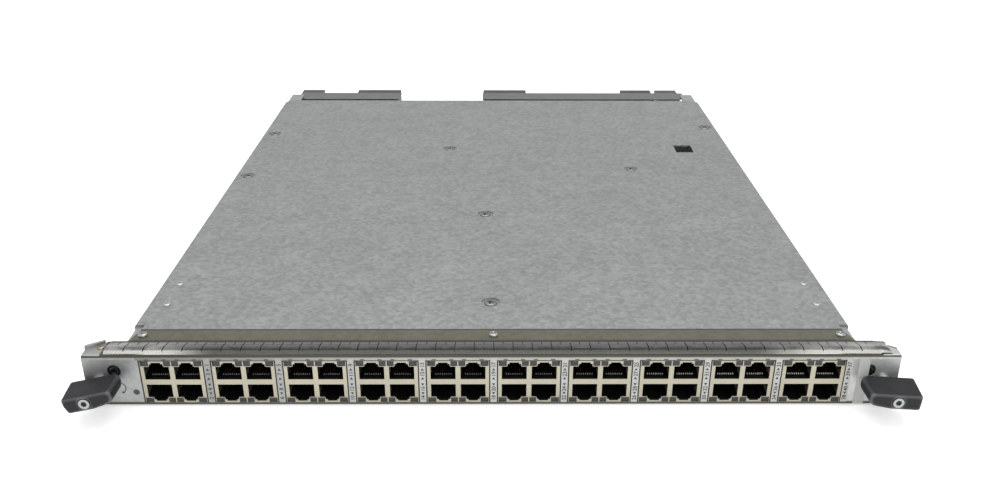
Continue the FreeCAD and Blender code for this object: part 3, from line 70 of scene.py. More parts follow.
# ---------------------------------------------------------------- mesh tools, all in millimetres
class Shape:
    """Corners and faces of one piece, gathered in millimetres."""

    def __init__(self):
        self.corners = []
        self.faces = []

    def add(self, corners, faces):
        """Corners, and faces that count from the first of them."""
        start = len(self.corners)
        self.corners += [tuple(c) for c in corners]
        self.faces += [tuple(start + i for i in face) for face in faces]

    def block(self, low, high):
        """A box between two corners."""
        (a, b, c), (d, e, f) = low, high
        self.add([(a, b, c), (d, b, c), (d, e, c), (a, e, c),
                  (a, b, f), (d, b, f), (d, e, f), (a, e, f)],
                 [(0, 3, 2, 1), (4, 5, 6, 7), (0, 1, 5, 4), (1, 2, 6, 5), (2, 3, 7, 6), (3, 0, 4, 7)])

    def turned(self, profile, sides, close_low=True, close_high=True):
        """A turned form about Z from (radius, height) pairs, lowest first."""
        start = len(self.corners)
        for radius, height in profile:
            for side in range(sides):
                angle = 2 * math.pi * side / sides
                self.corners.append((radius * math.cos(angle), radius * math.sin(angle), height))
        for ring in range(len(profile) - 1):
            for side in range(sides):
                a = start + ring * sides + side
                b = start + ring * sides + (side + 1) % sides
                self.faces.append((a, b, b + sides, a + sides))
        if close_low:
            self.faces.append(tuple(start + side for side in reversed(range(sides))))
        if close_high:
            last = start + (len(profile) - 1) * sides
            self.faces.append(tuple(last + side for side in range(sides)))

    def sunk_top(self, rim, recess, top, depth, taper):
        """A flat top between a rim and a recess, with the recess's walls and floor."""
        loops = [[Vector((x, y, top)) for x, y in rim], [Vector((x, y, top)) for x, y in recess]]
        flat = [c for loop in loops for c in loop]
        faces = []
        for face in tessellate_polygon(loops):
            a, b, c = (flat[i] for i in face)
            faces.append(tuple(face) if (b - a).cross(c - a).z > 0 else tuple(reversed(face)))
        self.add(flat, faces)
        floor = [(x * taper, y * taper, top - depth) for x, y in recess]
        count = len(recess)
        walls = [(i, (i + 1) % count, count + (i + 1) % count, count + i) for i in range(count)]
        self.add([(x, y, top) for x, y in recess] + floor,
                 [tuple(reversed(w)) for w in walls] + [tuple(range(count, 2 * count))])

    def sweep(self, path, section):
        """A section of (across, rise) pairs carried along a path in the plane of the card's length."""
        start = len(self.corners)
        for y, z in path:
            for across, rise in section:
                self.corners.append((across, y, z + rise))
        count = len(section)
        for step in range(len(path) - 1):
            for i in range(count):
                a = start + step * count + i
                b = start + step * count + (i + 1) % count
                self.faces.append((a, b, b + count, a + count))
        self.faces.append(tuple(start + i for i in reversed(range(count))))
        last = start + (len(path) - 1) * count
        self.faces.append(tuple(last + i for i in range(count)))

    def mesh(self, name):
        """The gathered form as a mesh in metres."""
        mesh = bpy.data.meshes.new(name)
        mesh.from_pydata([(x * MM, y * MM, z * MM) for x, y, z in self.corners], [], self.faces)
        mesh.validate()
        return mesh


def link(name, mesh):
    """An object in the scene for a mesh or a curve."""
    piece = bpy.data.objects.new(name, mesh)
    bpy.context.scene.collection.objects.link(piece)
    return piece


def finished_mesh(piece):
    """A plain mesh of what an object's modifiers or letters make."""
    return bpy.data.meshes.new_from_object(piece.evaluated_get(bpy.context.evaluated_depsgraph_get()))


def smooth(mesh, angle=35):
    """Soft shading, with a hard line where faces meet at more than the angle."""
    mesh.shade_smooth()
    mesh.set_sharp_from_angle(angle=math.radians(angle))


def place_piece(name, mesh, material, body, stands_for=()):
    """One piece of the part, on its body, in its finish."""
    piece = link(name, mesh)
    mesh.materials.clear()
    mesh.materials.append(material)
    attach(piece, body)
    if stands_for:
        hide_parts(*stands_for)
    return piece


# ---------------------------------------------------------------- setting out copies
def make_copier():
    """A tree that sets a copy of one part on each point, turned by the point's own angles."""
    tree = bpy.data.node_groups.new("set_out_copies", "GeometryNodeTree")
    for label, kind in (("Geometry", "NodeSocketGeometry"), ("Part", "NodeSocketObject"),
                        ("Finish", "NodeSocketMaterial"), ("Spin", "NodeSocketFloat"),
                        ("Seed", "NodeSocketInt")):
        tree.interface.new_socket(label, in_out="INPUT", socket_type=kind)
    tree.interface.new_socket("Geometry", in_out="OUTPUT", socket_type="NodeSocketGeometry")
    nodes, links = tree.nodes, tree.links
    source = nodes.new("NodeGroupInput")
    result = nodes.new("NodeGroupOutput")
    part = nodes.new("GeometryNodeObjectInfo")
    angles = nodes.new("GeometryNodeInputNamedAttribute")
    angles.data_type = "FLOAT_VECTOR"
    angles.inputs["Name"].default_value = "angles"
    turn = nodes.new("FunctionNodeEulerToRotation")
    copies = nodes.new("GeometryNodeInstanceOnPoints")
    spin = nodes.new("FunctionNodeRandomValue")
    spin.data_type = "FLOAT"
    reach = nodes.new("ShaderNodeMath")
    reach.operation = "MULTIPLY"
    reach.inputs[1].default_value = -1.0
    about = nodes.new("ShaderNodeCombineXYZ")
    spun = nodes.new("GeometryNodeRotateInstances")
    real = nodes.new("GeometryNodeRealizeInstances")
    painted = nodes.new("GeometryNodeSetMaterial")
    links.new(source.outputs["Part"], part.inputs["Object"])
    links.new(source.outputs["Geometry"], copies.inputs["Points"])
    links.new(part.outputs["Geometry"], copies.inputs["Instance"])
    links.new(angles.outputs["Attribute"], turn.inputs["Euler"])
    links.new(turn.outputs["Rotation"], copies.inputs["Rotation"])
    links.new(source.outputs["Spin"], reach.inputs[0])
    # inputs 2 and 3 are the lowest and the highest plain number
    links.new(reach.outputs["Value"], spin.inputs[2])
    links.new(source.outputs["Spin"], spin.inputs[3])
    links.new(source.outputs["Seed"], spin.inputs["Seed"])
    links.new(spin.outputs[1], about.inputs["Z"])
    links.new(copies.outputs["Instances"], spun.inputs["Instances"])
    links.new(about.outputs["Vector"], spun.inputs["Rotation"])
    links.new(spun.outputs["Instances"], real.inputs["Geometry"])
    links.new(real.outputs["Geometry"], painted.inputs["Geometry"])
    links.new(source.outputs["Finish"], painted.inputs["Material"])
    links.new(painted.outputs["Geometry"], result.inputs["Geometry"])
    return tree


COPIER = make_copier()


def set_out(name, part_mesh, places, material, body, stands_for=(), angles=UPRIGHT,
            spin=0.0, seed=1):
    """Copies of a part at places in millimetres, kept as one plain piece.

    The angles are one turn for all the copies or a list with one for each, and spin is the most
    that a copy is turned about its own axis by chance."""
    part = link(name + "_part", part_mesh)
    points = bpy.data.meshes.new(name + "_points")
    points.from_pydata([(x * MM, y * MM, z * MM) for x, y, z in places], [], [])
    turned = points.attributes.new("angles", "FLOAT_VECTOR", "POINT")
    for index in range(len(places)):
        turned.data[index].vector = angles[index] if isinstance(angles, list) else angles
    holder = link(name + "_holder", points)
    modifier = holder.modifiers.new("copies", "NODES")
    modifier.node_group = COPIER
    given = {"Part": part, "Finish": material, "Spin": spin, "Seed": seed}
    for item in COPIER.interface.items_tree:
        if item.in_out == "INPUT" and item.name in given:
            modifier[item.identifier] = given[item.name]
    mesh = finished_mesh(holder)
    mesh.name = name
    bpy.data.objects.remove(holder)
    bpy.data.objects.remove(part)
    smooth(mesh)
    return place_piece(name, mesh, material, body, stands_for)


# ---------------------------------------------------------------- shared surface effects
def make_effect(name, inputs, outputs):
    """An empty effect with its input and output nodes, from (label, kind, value) and (label, kind)."""
    group = bpy.data.node_groups.new(name, "ShaderNodeTree")
    for label, kind, value in inputs:
        socket = group.interface.new_socket(label, in_out="INPUT", socket_type=kind)
        if value is not None:
            socket.default_value = value
    for label, kind in outputs:
        group.interface.new_socket(label, in_out="OUTPUT", socket_type=kind)
    return group, group.nodes.new("NodeGroupInput"), group.nodes.new("NodeGroupOutput")


def feed(tree, value, socket):
    """Gives a socket a plain number or another node's output."""
    if isinstance(value, (int, float)):
        socket.default_value = value
    else:
        tree.links.new(value, socket)


def math_node(tree, operation, *values):
    """One sum of plain numbers and outputs."""
    node = tree.nodes.new("ShaderNodeMath")
    node.operation = operation
    for socket, value in zip(node.inputs, values):
        feed(tree, value, socket)
    return node.outputs["Value"]


def times(tree, first, second):
    return math_node(tree, "MULTIPLY", first, second)


def blend(tree, first, share, second):
    """The first value and the second, the first by its share and the second by the rest."""
    return math_node(tree, "MULTIPLY_ADD", first, share, times(tree, second, round(1.0 - share, 6)))


def stretched(tree, place, stretch, turn=0.0):
    """The place vector drawn out along one way, so that what it feeds becomes lines."""
    node = tree.nodes.new("ShaderNodeMapping")
    node.inputs["Scale"].default_value = stretch
    node.inputs["Rotation"].default_value = (0, 0, math.radians(turn))
    tree.links.new(place, node.inputs["Vector"])
    return node.outputs["Vector"]


def noise(tree, place, scale, detail=4.0, rough=0.55):
    """Soft noise at a place, from 0 to 1."""
    node = tree.nodes.new("ShaderNodeTexNoise")
    node.inputs["Detail"].default_value = detail
    node.inputs["Roughness"].default_value = rough
    tree.links.new(place, node.inputs["Vector"])
    feed(tree, scale, node.inputs["Scale"])
    return node.outputs["Fac"]


def between(tree, value, low, high, to_low=0.0, to_high=1.0):
    """A value that runs from low to high, spread over another range and held at its ends."""
    node = tree.nodes.new("ShaderNodeMapRange")
    for label, number in (("From Min", low), ("From Max", high), ("To Min", to_low), ("To Max", to_high)):
        node.inputs[label].default_value = number
    tree.links.new(value, node.inputs["Value"])
    return node.outputs["Result"]


def make_spangle():
    """Zinc crystals: patches of slightly different grey with soft borders."""
    group, given, result = make_effect(
        "zinc_spangle", [("Place", "NodeSocketVector", None), ("Scale", "NodeSocketFloat", 300.0)],
        [("Tone", "NodeSocketFloat")])
    cells = group.nodes.new("ShaderNodeTexVoronoi")
    cells.feature = "SMOOTH_F1"
    cells.inputs["Smoothness"].default_value = 0.6
    group.links.new(given.outputs["Place"], cells.inputs["Vector"])
    group.links.new(given.outputs["Scale"], cells.inputs["Scale"])
    shade = group.nodes.new("ShaderNodeSeparateColor")
    group.links.new(cells.outputs["Color"], shade.inputs["Color"])
    fine = noise(group, given.outputs["Place"], given.outputs["Scale"], 5.0)
    group.links.new(blend(group, shade.outputs["Red"], 0.6, fine), result.inputs["Tone"])
    return group


def make_scratches():
    """Hair scratches in three directions, broken up by a coarse noise."""
    group, given, result = make_effect(
        "hair_scratches", [("Place", "NodeSocketVector", None), ("Amount", "NodeSocketFloat", 0.4)],
        [("Mask", "NodeSocketFloat")])
    total = None
    # how far each set of lines is turned, how it is drawn out, and how few of them show
    sets = ((12, (14, 900, 900), 0.70), (-31, (18, 1400, 1400), 0.715), (74, (20, 1100, 1100), 0.72))
    for turn, stretch, line in sets:
        line_noise = noise(group, stretched(group, given.outputs["Place"], stretch, turn), 1.0, 2.0)
        line_mask = between(group, line_noise, line, line + 0.05)
        total = line_mask if total is None else math_node(group, "MAXIMUM", total, line_mask)
    broken = between(group, noise(group, given.outputs["Place"], 24.0, 3.0), 0.45, 0.62)
    mask = times(group, times(group, total, broken), given.outputs["Amount"])
    group.links.new(mask, result.inputs["Mask"])
    return group


def make_handling():
    """Dull clouds where the part has been handled and wiped."""
    group, given, result = make_effect(
        "handling_marks", [("Place", "NodeSocketVector", None), ("Scale", "NodeSocketFloat", 22.0)],
        [("Mask", "NodeSocketFloat")])
    cloud = noise(group, given.outputs["Place"], given.outputs["Scale"], 6.0, 0.62)
    swirl = noise(group, stretched(group, given.outputs["Place"], (60, 12, 30), 20), 1.0, 4.0)
    mask = times(group, between(group, cloud, 0.42, 0.68), between(group, swirl, 0.3, 0.7, 0.4, 1.0))
    group.links.new(mask, result.inputs["Mask"])
    return group


def make_grain():
    """Fine grain for a bump: a tight noise over a slower one."""
    group, given, result = make_effect(
        "fine_grain", [("Place", "NodeSocketVector", None), ("Scale", "NodeSocketFloat", 2500.0)],
        [("Height", "NodeSocketFloat")])
    tight = noise(group, given.outputs["Place"], given.outputs["Scale"], 3.0, 0.6)
    slow = noise(group, given.outputs["Place"], times(group, given.outputs["Scale"], 0.12), 4.0)
    group.links.new(blend(group, tight, 0.7, slow), result.inputs["Height"])
    return group


def make_brushing():
    """Lines of a rolled or brushed sheet, along the part's width."""
    group, given, result = make_effect(
        "brushed_lines", [("Place", "NodeSocketVector", None)], [("Height", "NodeSocketFloat")])
    long_lines = noise(group, stretched(group, given.outputs["Place"], (12, 1500, 1500)), 1.0, 4.0)
    short_lines = noise(group, stretched(group, given.outputs["Place"], (90, 3800, 3800)), 1.0, 2.0)
    group.links.new(blend(group, long_lines, 0.6, short_lines), result.inputs["Height"])
    return group


def make_soft_edge():
    """Rounded look and a wear mask along the edges of a piece."""
    group, given, result = make_effect(
        "soft_edge", [("Radius", "NodeSocketFloat", 0.0003)],
        [("Normal", "NodeSocketVector"), ("Wear", "NodeSocketFloat")])
    bevel = group.nodes.new("ShaderNodeBevel")
    bevel.samples = 6
    group.links.new(given.outputs["Radius"], bevel.inputs["Radius"])
    shape = group.nodes.new("ShaderNodeNewGeometry")
    near = group.nodes.new("ShaderNodeVectorMath")
    near.operation = "DOT_PRODUCT"
    group.links.new(bevel.outputs["Normal"], near.inputs[0])
    group.links.new(shape.outputs["Normal"], near.inputs[1])
    group.links.new(between(group, near.outputs["Value"], 0.999, 0.86), result.inputs["Wear"])
    group.links.new(bevel.outputs["Normal"], result.inputs["Normal"])
    return group


def make_ridges():
    """Where a dense moulded form stands out most: its ridges, lighter with painted highlight and rubbed wear.
    """
    group, given, result = make_effect(
        "ridge_highlight_and_wear", [("Amount", "NodeSocketFloat", 1.0)], [("Mask", "NodeSocketFloat")])
    shape = group.nodes.new("ShaderNodeNewGeometry")
    ridge = between(group, shape.outputs["Pointiness"], 0.506, 0.535)
    group.links.new(times(group, ridge, given.outputs["Amount"]), result.inputs["Mask"])
    return group


def make_dust():
    """Thin dust on what faces up, thicker in patches."""
    group, given, result = make_effect(
        "settled_dust", [("Place", "NodeSocketVector", None), ("Amount", "NodeSocketFloat", 0.2)],
        [("Mask", "NodeSocketFloat")])
    shape = group.nodes.new("ShaderNodeNewGeometry")
    split = group.nodes.new("ShaderNodeSeparateXYZ")
    group.links.new(shape.outputs["Normal"], split.inputs["Vector"])
    up = between(group, split.outputs["Z"], 0.5, 1.0)
    patchy = between(group, noise(group, given.outputs["Place"], 90.0, 8.0, 0.7), 0.4, 0.75)
    group.links.new(times(group, times(group, up, patchy), given.outputs["Amount"]), result.inputs["Mask"])
    return group


EFFECTS = {"spangle": make_spangle(), "scratches": make_scratches(), "handling": make_handling(),
           "grain": make_grain(), "brushing": make_brushing(), "soft_edge": make_soft_edge(),
           "dust": make_dust(), "ridges": make_ridges()}

# the sockets of a mix node that works on colours
MIX_SHARE, MIX_FIRST, MIX_SECOND, MIX_RESULT = 0, 6, 7, 2


def brighter(colour, factor, lift=0.0):
    """A colour made lighter, no further than white."""
    return tuple(min(1, c * factor + lift) for c in colour)


class Finish:
    """A material under construction: a Principled surface and the effects that feed it."""

    def __init__(self, name, base, metallic=0.0, rough=0.5, specular=0.5):
        self.material = bpy.data.materials.new(name)
        self.material.use_nodes = True
        self.material.diffuse_color = (*base, 1)
        self.tree = self.material.node_tree
        self.surface = self.tree.nodes["Principled BSDF"]
        self.surface.inputs["Metallic"].default_value = metallic
        self.surface.inputs["Specular IOR Level"].default_value = specular
        self.surface.inputs["Roughness"].default_value = rough
        self.place = self.tree.nodes.new("ShaderNodeTexCoord").outputs["Object"]
        plain = self.tree.nodes.new("ShaderNodeRGB")
        plain.outputs[0].default_value = (*base, 1)
        self.colour = plain.outputs[0]
        self.rough = rough
        self.normal = None
        self.heights = []

    def effect(self, name, **numbers):
        """Puts a shared effect in the material with its own numbers, and gives its outputs."""
        node = self.tree.nodes.new("ShaderNodeGroup")
        node.node_tree = EFFECTS[name]
        if "Place" in node.inputs:
            self.tree.links.new(self.place, node.inputs["Place"])
        for label, number in numbers.items():
            node.inputs[label].default_value = number
        return node.outputs

    def mix(self, way):
        """A mix node that takes the colour so far and gives the new one."""
        node = self.tree.nodes.new("ShaderNodeMix")
        node.data_type = "RGBA"
        node.blend_type = way
        self.tree.links.new(self.colour, node.inputs[MIX_FIRST])
        self.colour = node.outputs[MIX_RESULT]
        return node.inputs

    def tint(self, mask, colour):
        """Lays a colour over the one so far, where the mask says."""
        inputs = self.mix("MIX")
        self.tree.links.new(mask, inputs[MIX_SHARE])
        inputs[MIX_SECOND].default_value = (*colour, 1)

    def shade(self, value, low, high):
        """Multiplies the colour by a grey that runs from low to high with the value."""
        inputs = self.mix("MULTIPLY")
        inputs[MIX_SHARE].default_value = 1.0
        self.tree.links.new(between(self.tree, value, 0.0, 1.0, low, high), inputs[MIX_SECOND])

    def roughen(self, mask, amount):
        """Adds to the roughness where the mask says, or takes from it."""
        self.rough = math_node(self.tree, "MULTIPLY_ADD", mask, amount, self.rough)

    def soft_edge(self, radius_mm, wear_colour, wear):
        """Softens the edges and rubs them to another colour."""
        outputs = self.effect("soft_edge", Radius=radius_mm * MM)
        self.normal = outputs["Normal"]
        self.tint(times(self.tree, outputs["Wear"], wear), wear_colour)

    def raise_by(self, height, depth_mm):
        """Notes a relief, to be laid over the soft edges at the end."""
        self.heights.append((height, depth_mm))

    def done(self):
        """Joins what was gathered to the surface."""
        links = self.tree.links
        for height, depth_mm in self.heights:
            bump = self.tree.nodes.new("ShaderNodeBump")
            bump.inputs["Strength"].default_value = 1.0
            bump.inputs["Distance"].default_value = depth_mm * MM
            links.new(height, bump.inputs["Height"])
            if self.normal is not None:
                links.new(self.normal, bump.inputs["Normal"])
            self.normal = bump.outputs["Normal"]
        links.new(self.colour, self.surface.inputs["Base Color"])
        feed(self.tree, self.rough, self.surface.inputs["Roughness"])
        if self.normal is not None:
            links.new(self.normal, self.surface.inputs["Normal"])
        return self.material


def sheet_metal(name, base, rough, spangle=260.0, contrast=0.12, scratches=0.35, edge=0.25,
                brushed=0.004, dust=0.10):
    """Plated or galvanised sheet: crystals, rolling lines, scratches, handling and bright edges."""
    look = Finish(name, base, metallic=1.0, rough=rough)
    look.shade(look.effect("spangle", Scale=spangle)["Tone"], 1 - contrast, 1 + contrast)
    look.shade(look.effect("spangle", Scale=spangle * 0.12)["Tone"], 1 - contrast * 0.25, 1 + contrast * 0.25)
    handled = look.effect("handling")["Mask"]
    look.shade(handled, 1.0, 0.93)
    look.roughen(handled, 0.10)
    marks = look.effect("scratches", Amount=scratches)["Mask"]
    look.tint(marks, brighter(base, 1.35))
    look.roughen(marks, -0.12)
    powder = look.effect("dust", Amount=dust)["Mask"]
    look.tint(powder, (0.46, 0.45, 0.43))
    look.roughen(powder, 0.25)
    look.soft_edge(edge, brighter(base, 1.25), 0.6)
    look.raise_by(look.effect("brushing")["Height"], brushed)
    look.raise_by(look.effect("grain", Scale=1800.0)["Height"], 0.004)
    return look.done()


def machined_metal(name, base, rough, edge=0.15, scratches=0.3):
    """Turned or plated small metal: tight grain, fine scratches, brighter rims."""
    look = Finish(name, base, metallic=1.0, rough=rough)
    look.shade(look.effect("handling", Scale=180.0)["Mask"], 1.03, 0.86)
    marks = look.effect("scratches", Amount=scratches)["Mask"]
    look.tint(marks, brighter(base, 1.3))
    look.roughen(look.effect("handling", Scale=90.0)["Mask"], 0.12)
    look.soft_edge(edge, brighter(base, 1.3), 0.7)
    look.raise_by(look.effect("grain", Scale=3200.0)["Height"], 0.003)
    return look.done()


def moulded_plastic(name, base, rough, edge=0.3, edge_colour=None, grain=0.012, dust=0.12,
                    shine=0.5, grain_scale=2600.0, ridges=0.0):
    """Moulded plastic: spark-eroded grain, rubbed edges, a little dust."""
    look = Finish(name, base, rough=rough, specular=shine)
    look.shade(look.effect("handling", Scale=60.0)["Mask"], 0.94, 1.12)
    look.roughen(look.effect("handling", Scale=40.0)["Mask"], 0.12)
    marks = look.effect("scratches", Amount=0.25)["Mask"]
    look.tint(marks, brighter(base, 1.8, 0.02))
    powder = look.effect("dust", Amount=dust)["Mask"]
    look.tint(powder, (0.35, 0.34, 0.32))
    # painted highlight along the ridges, with rubbed wear
    if ridges:
        look.tint(look.effect("ridges", Amount=ridges)["Mask"], edge_colour)
    look.soft_edge(edge, edge_colour or brighter(base, 1.7, 0.01), 0.7)
    look.raise_by(look.effect("grain", Scale=grain_scale)["Height"], grain)
    return look.done()


def position_mask(look, axis, start, end):
    """A mask that runs from 0 to 1 along one axis of the part, between two places in millimetres."""
    split = look.tree.nodes.new("ShaderNodeSeparateXYZ")
    look.tree.links.new(look.place, split.inputs["Vector"])
    node = look.tree.nodes.new("ShaderNodeMapRange")
    node.interpolation_type = "SMOOTHSTEP"
    node.inputs["From Min"].default_value = start * MM
    node.inputs["From Max"].default_value = end * MM
    look.tree.links.new(split.outputs[axis], node.inputs["Value"])
    return node.outputs["Result"]


def make_faceplate():
    """The faceplate's plated steel, with painted shade that darkens it towards its left, and dark olive bends
    and flanges, partly their own colour and partly painted shade.

    Past the side walls the olive stops at the top edge, so that the corner lips stay plain."""
    base = (0.53, 0.545, 0.535)
    look = Finish("faceplate_steel", base, metallic=1.0, rough=0.50)
    look.shade(look.effect("spangle", Scale=420.0)["Tone"], 0.88, 1.12)
    # painted shade: the plate darker towards its left
    look.shade(position_mask(look, "X", -190, -60), 0.76, 1.02)
    handled = look.effect("handling")["Mask"]
    look.shade(handled, 1.0, 0.92)
    look.roughen(handled, 0.10)
    tree = look.tree
    # dark olive on the top and bottom bends: partly the bends' own olive colour, partly painted shade where
    # they turn away from the light
    ends = math_node(tree, "MAXIMUM", position_mask(look, "X", -181.2, -182.2),
                     position_mask(look, "X", 181.2, 182.2))
    inner = math_node(tree, "SUBTRACT", 1.0, times(tree, ends, position_mask(look, "Z", 26.9, 27.3)))
    top = position_mask(look, "Z", 26.0, 26.7)
    bottom = position_mask(look, "Z", 2.7, 1.7)
    look.tint(times(tree, math_node(tree, "MAXIMUM", top, bottom), inner), (0.085, 0.081, 0.062))
    marks = look.effect("scratches", Amount=0.35)["Mask"]
    look.tint(marks, (0.52, 0.53, 0.51))
    look.soft_edge(0.25, (0.55, 0.55, 0.52), 0.5)
    look.raise_by(look.effect("brushing")["Height"], 0.005)
    look.raise_by(look.effect("grain", Scale=1800.0)["Height"], 0.004)
    return look.done()


def make_spring_strip():
    """Spring strip: crowns painted dark as their reflection, with painted reflection brighter towards both
    ends, and painted highlight and painted shade across its lips and bends.
    """
    look = Finish("spring_strip", (0.072, 0.075, 0.072), metallic=1.0, rough=0.24)
    tree = look.tree
    look.shade(look.effect("spangle", Scale=500.0)["Tone"], 0.6, 1.5)
    # painted reflection: the strip lighter towards both ends, in patches
    ends = math_node(tree, "MAXIMUM", position_mask(look, "X", -128, -160),
                     position_mask(look, "X", 118, 165))
    middle = math_node(tree, "SUBTRACT", 1.0, ends)
    patchy_end_reflection = math_node(tree, "MULTIPLY_ADD", look.effect("handling", Scale=70.0)["Mask"], 0.6, 0.12)
    look.tint(times(tree, ends, patchy_end_reflection), (0.72, 0.71, 0.70))
    # from the front lip to the rear: painted shade on the slope, painted highlight on the lip and on the rear
    # bend, painted shade on the rear lip
    slope = times(tree, position_mask(look, "Y", -225.6, -226.8), times(tree, middle, 0.72))
    look.tint(slope, (0.018, 0.018, 0.015))
    lip = times(tree, position_mask(look, "Y", -226.9, -227.7),
                math_node(tree, "MULTIPLY_ADD", ends, 0.75, 0.10))
    look.tint(lip, (0.66, 0.65, 0.61))
    look.tint(times(tree, position_mask(look, "Y", -220.4, -219.6), 0.55), (0.30, 0.30, 0.27))
    look.tint(times(tree, position_mask(look, "Y", -218.4, -217.6), 0.9), (0.03, 0.03, 0.026))
    marks = look.effect("scratches", Amount=0.3)["Mask"]
    look.tint(marks, (0.60, 0.60, 0.58))
    look.soft_edge(0.12, (0.55, 0.55, 0.52), 0.5)
    look.raise_by(look.effect("grain", Scale=1500.0)["Height"], 0.004)
    return look.done()


def make_board():
    """Solder mask over copper lands: faint tracks under green, small pads."""
    look = Finish("solder_mask", (0.012, 0.075, 0.035), rough=0.34)
    tracks = look.tree.nodes.new("ShaderNodeTexBrick")
    tracks.inputs["Scale"].default_value = 60.0
    tracks.inputs["Mortar Size"].default_value = 0.06
    tracks.inputs["Color1"].default_value = (0, 0, 0, 1)
    tracks.inputs["Color2"].default_value = (0, 0, 0, 1)
    tracks.inputs["Mortar"].default_value = (1, 1, 1, 1)
    look.tree.links.new(look.place, tracks.inputs["Vector"])
    grey = look.tree.nodes.new("ShaderNodeRGBToBW")
    look.tree.links.new(tracks.outputs["Color"], grey.inputs["Color"])
    look.tint(times(look.tree, grey.outputs[0], 0.6), (0.03, 0.16, 0.06))
    pads = look.tree.nodes.new("ShaderNodeTexVoronoi")
    pads.inputs["Scale"].default_value = 420.0
    look.tree.links.new(look.place, pads.inputs["Vector"])
    vias = between(look.tree, pads.outputs["Distance"], 0.16, 0.12)
    look.tint(vias, (0.45, 0.42, 0.30))
    look.raise_by(grey.outputs[0], 0.03)
    powder = look.effect("dust", Amount=0.25)["Mask"]
    look.tint(powder, (0.30, 0.30, 0.26))
    return look.done()


def make_paint(name, base, rough=0.55, painted_left_shade=1.0):
    """Printed ink or a paper label: slight fading, fibres and soiling, with painted shade greyer at the left
    of the row.
    """
    look = Finish(name, base, rough=rough)
    # painted shade: darker towards the left of the row
    if painted_left_shade != 1.0:
        look.shade(position_mask(look, "X", -150, -20), painted_left_shade, 1.0)
    look.shade(look.effect("handling", Scale=120.0)["Mask"], 1.0, 0.88)
    look.shade(look.effect("spangle", Scale=1600.0)["Tone"], 0.95, 1.05)
    look.raise_by(look.effect("grain", Scale=4000.0)["Height"], 0.006)
    return look.done()


def make_contact_tip():
    """Spring ends painted pale as the highlight on their bends, with painted shade duller to the left of the
    row.
    """
    look = Finish("tip_painted_highlight", (0.66, 0.65, 0.58), rough=0.35)
    # painted shade towards the left of the row
    look.shade(position_mask(look, "X", 10, 130), 0.30, 1.0)
    look.shade(look.effect("handling", Scale=400.0)["Mask"], 1.1, 0.7)
    look.raise_by(look.effect("grain", Scale=3000.0)["Height"], 0.004)
    return look.done()


def make_lens(name, base):
    """Clouded light pipe plastic with a soft sheen."""
    look = Finish(name, base, rough=0.32)
    look.shade(look.effect("handling", Scale=300.0)["Mask"], 0.85, 1.15)
    look.soft_edge(0.2, brighter(base, 1.6), 0.6)
    look.raise_by(look.effect("grain", Scale=1500.0)["Height"], 0.01)
    look.surface.inputs["Coat Weight"].default_value = 0.12
    look.surface.inputs["Coat Roughness"].default_value = 0.15
    return look.done()


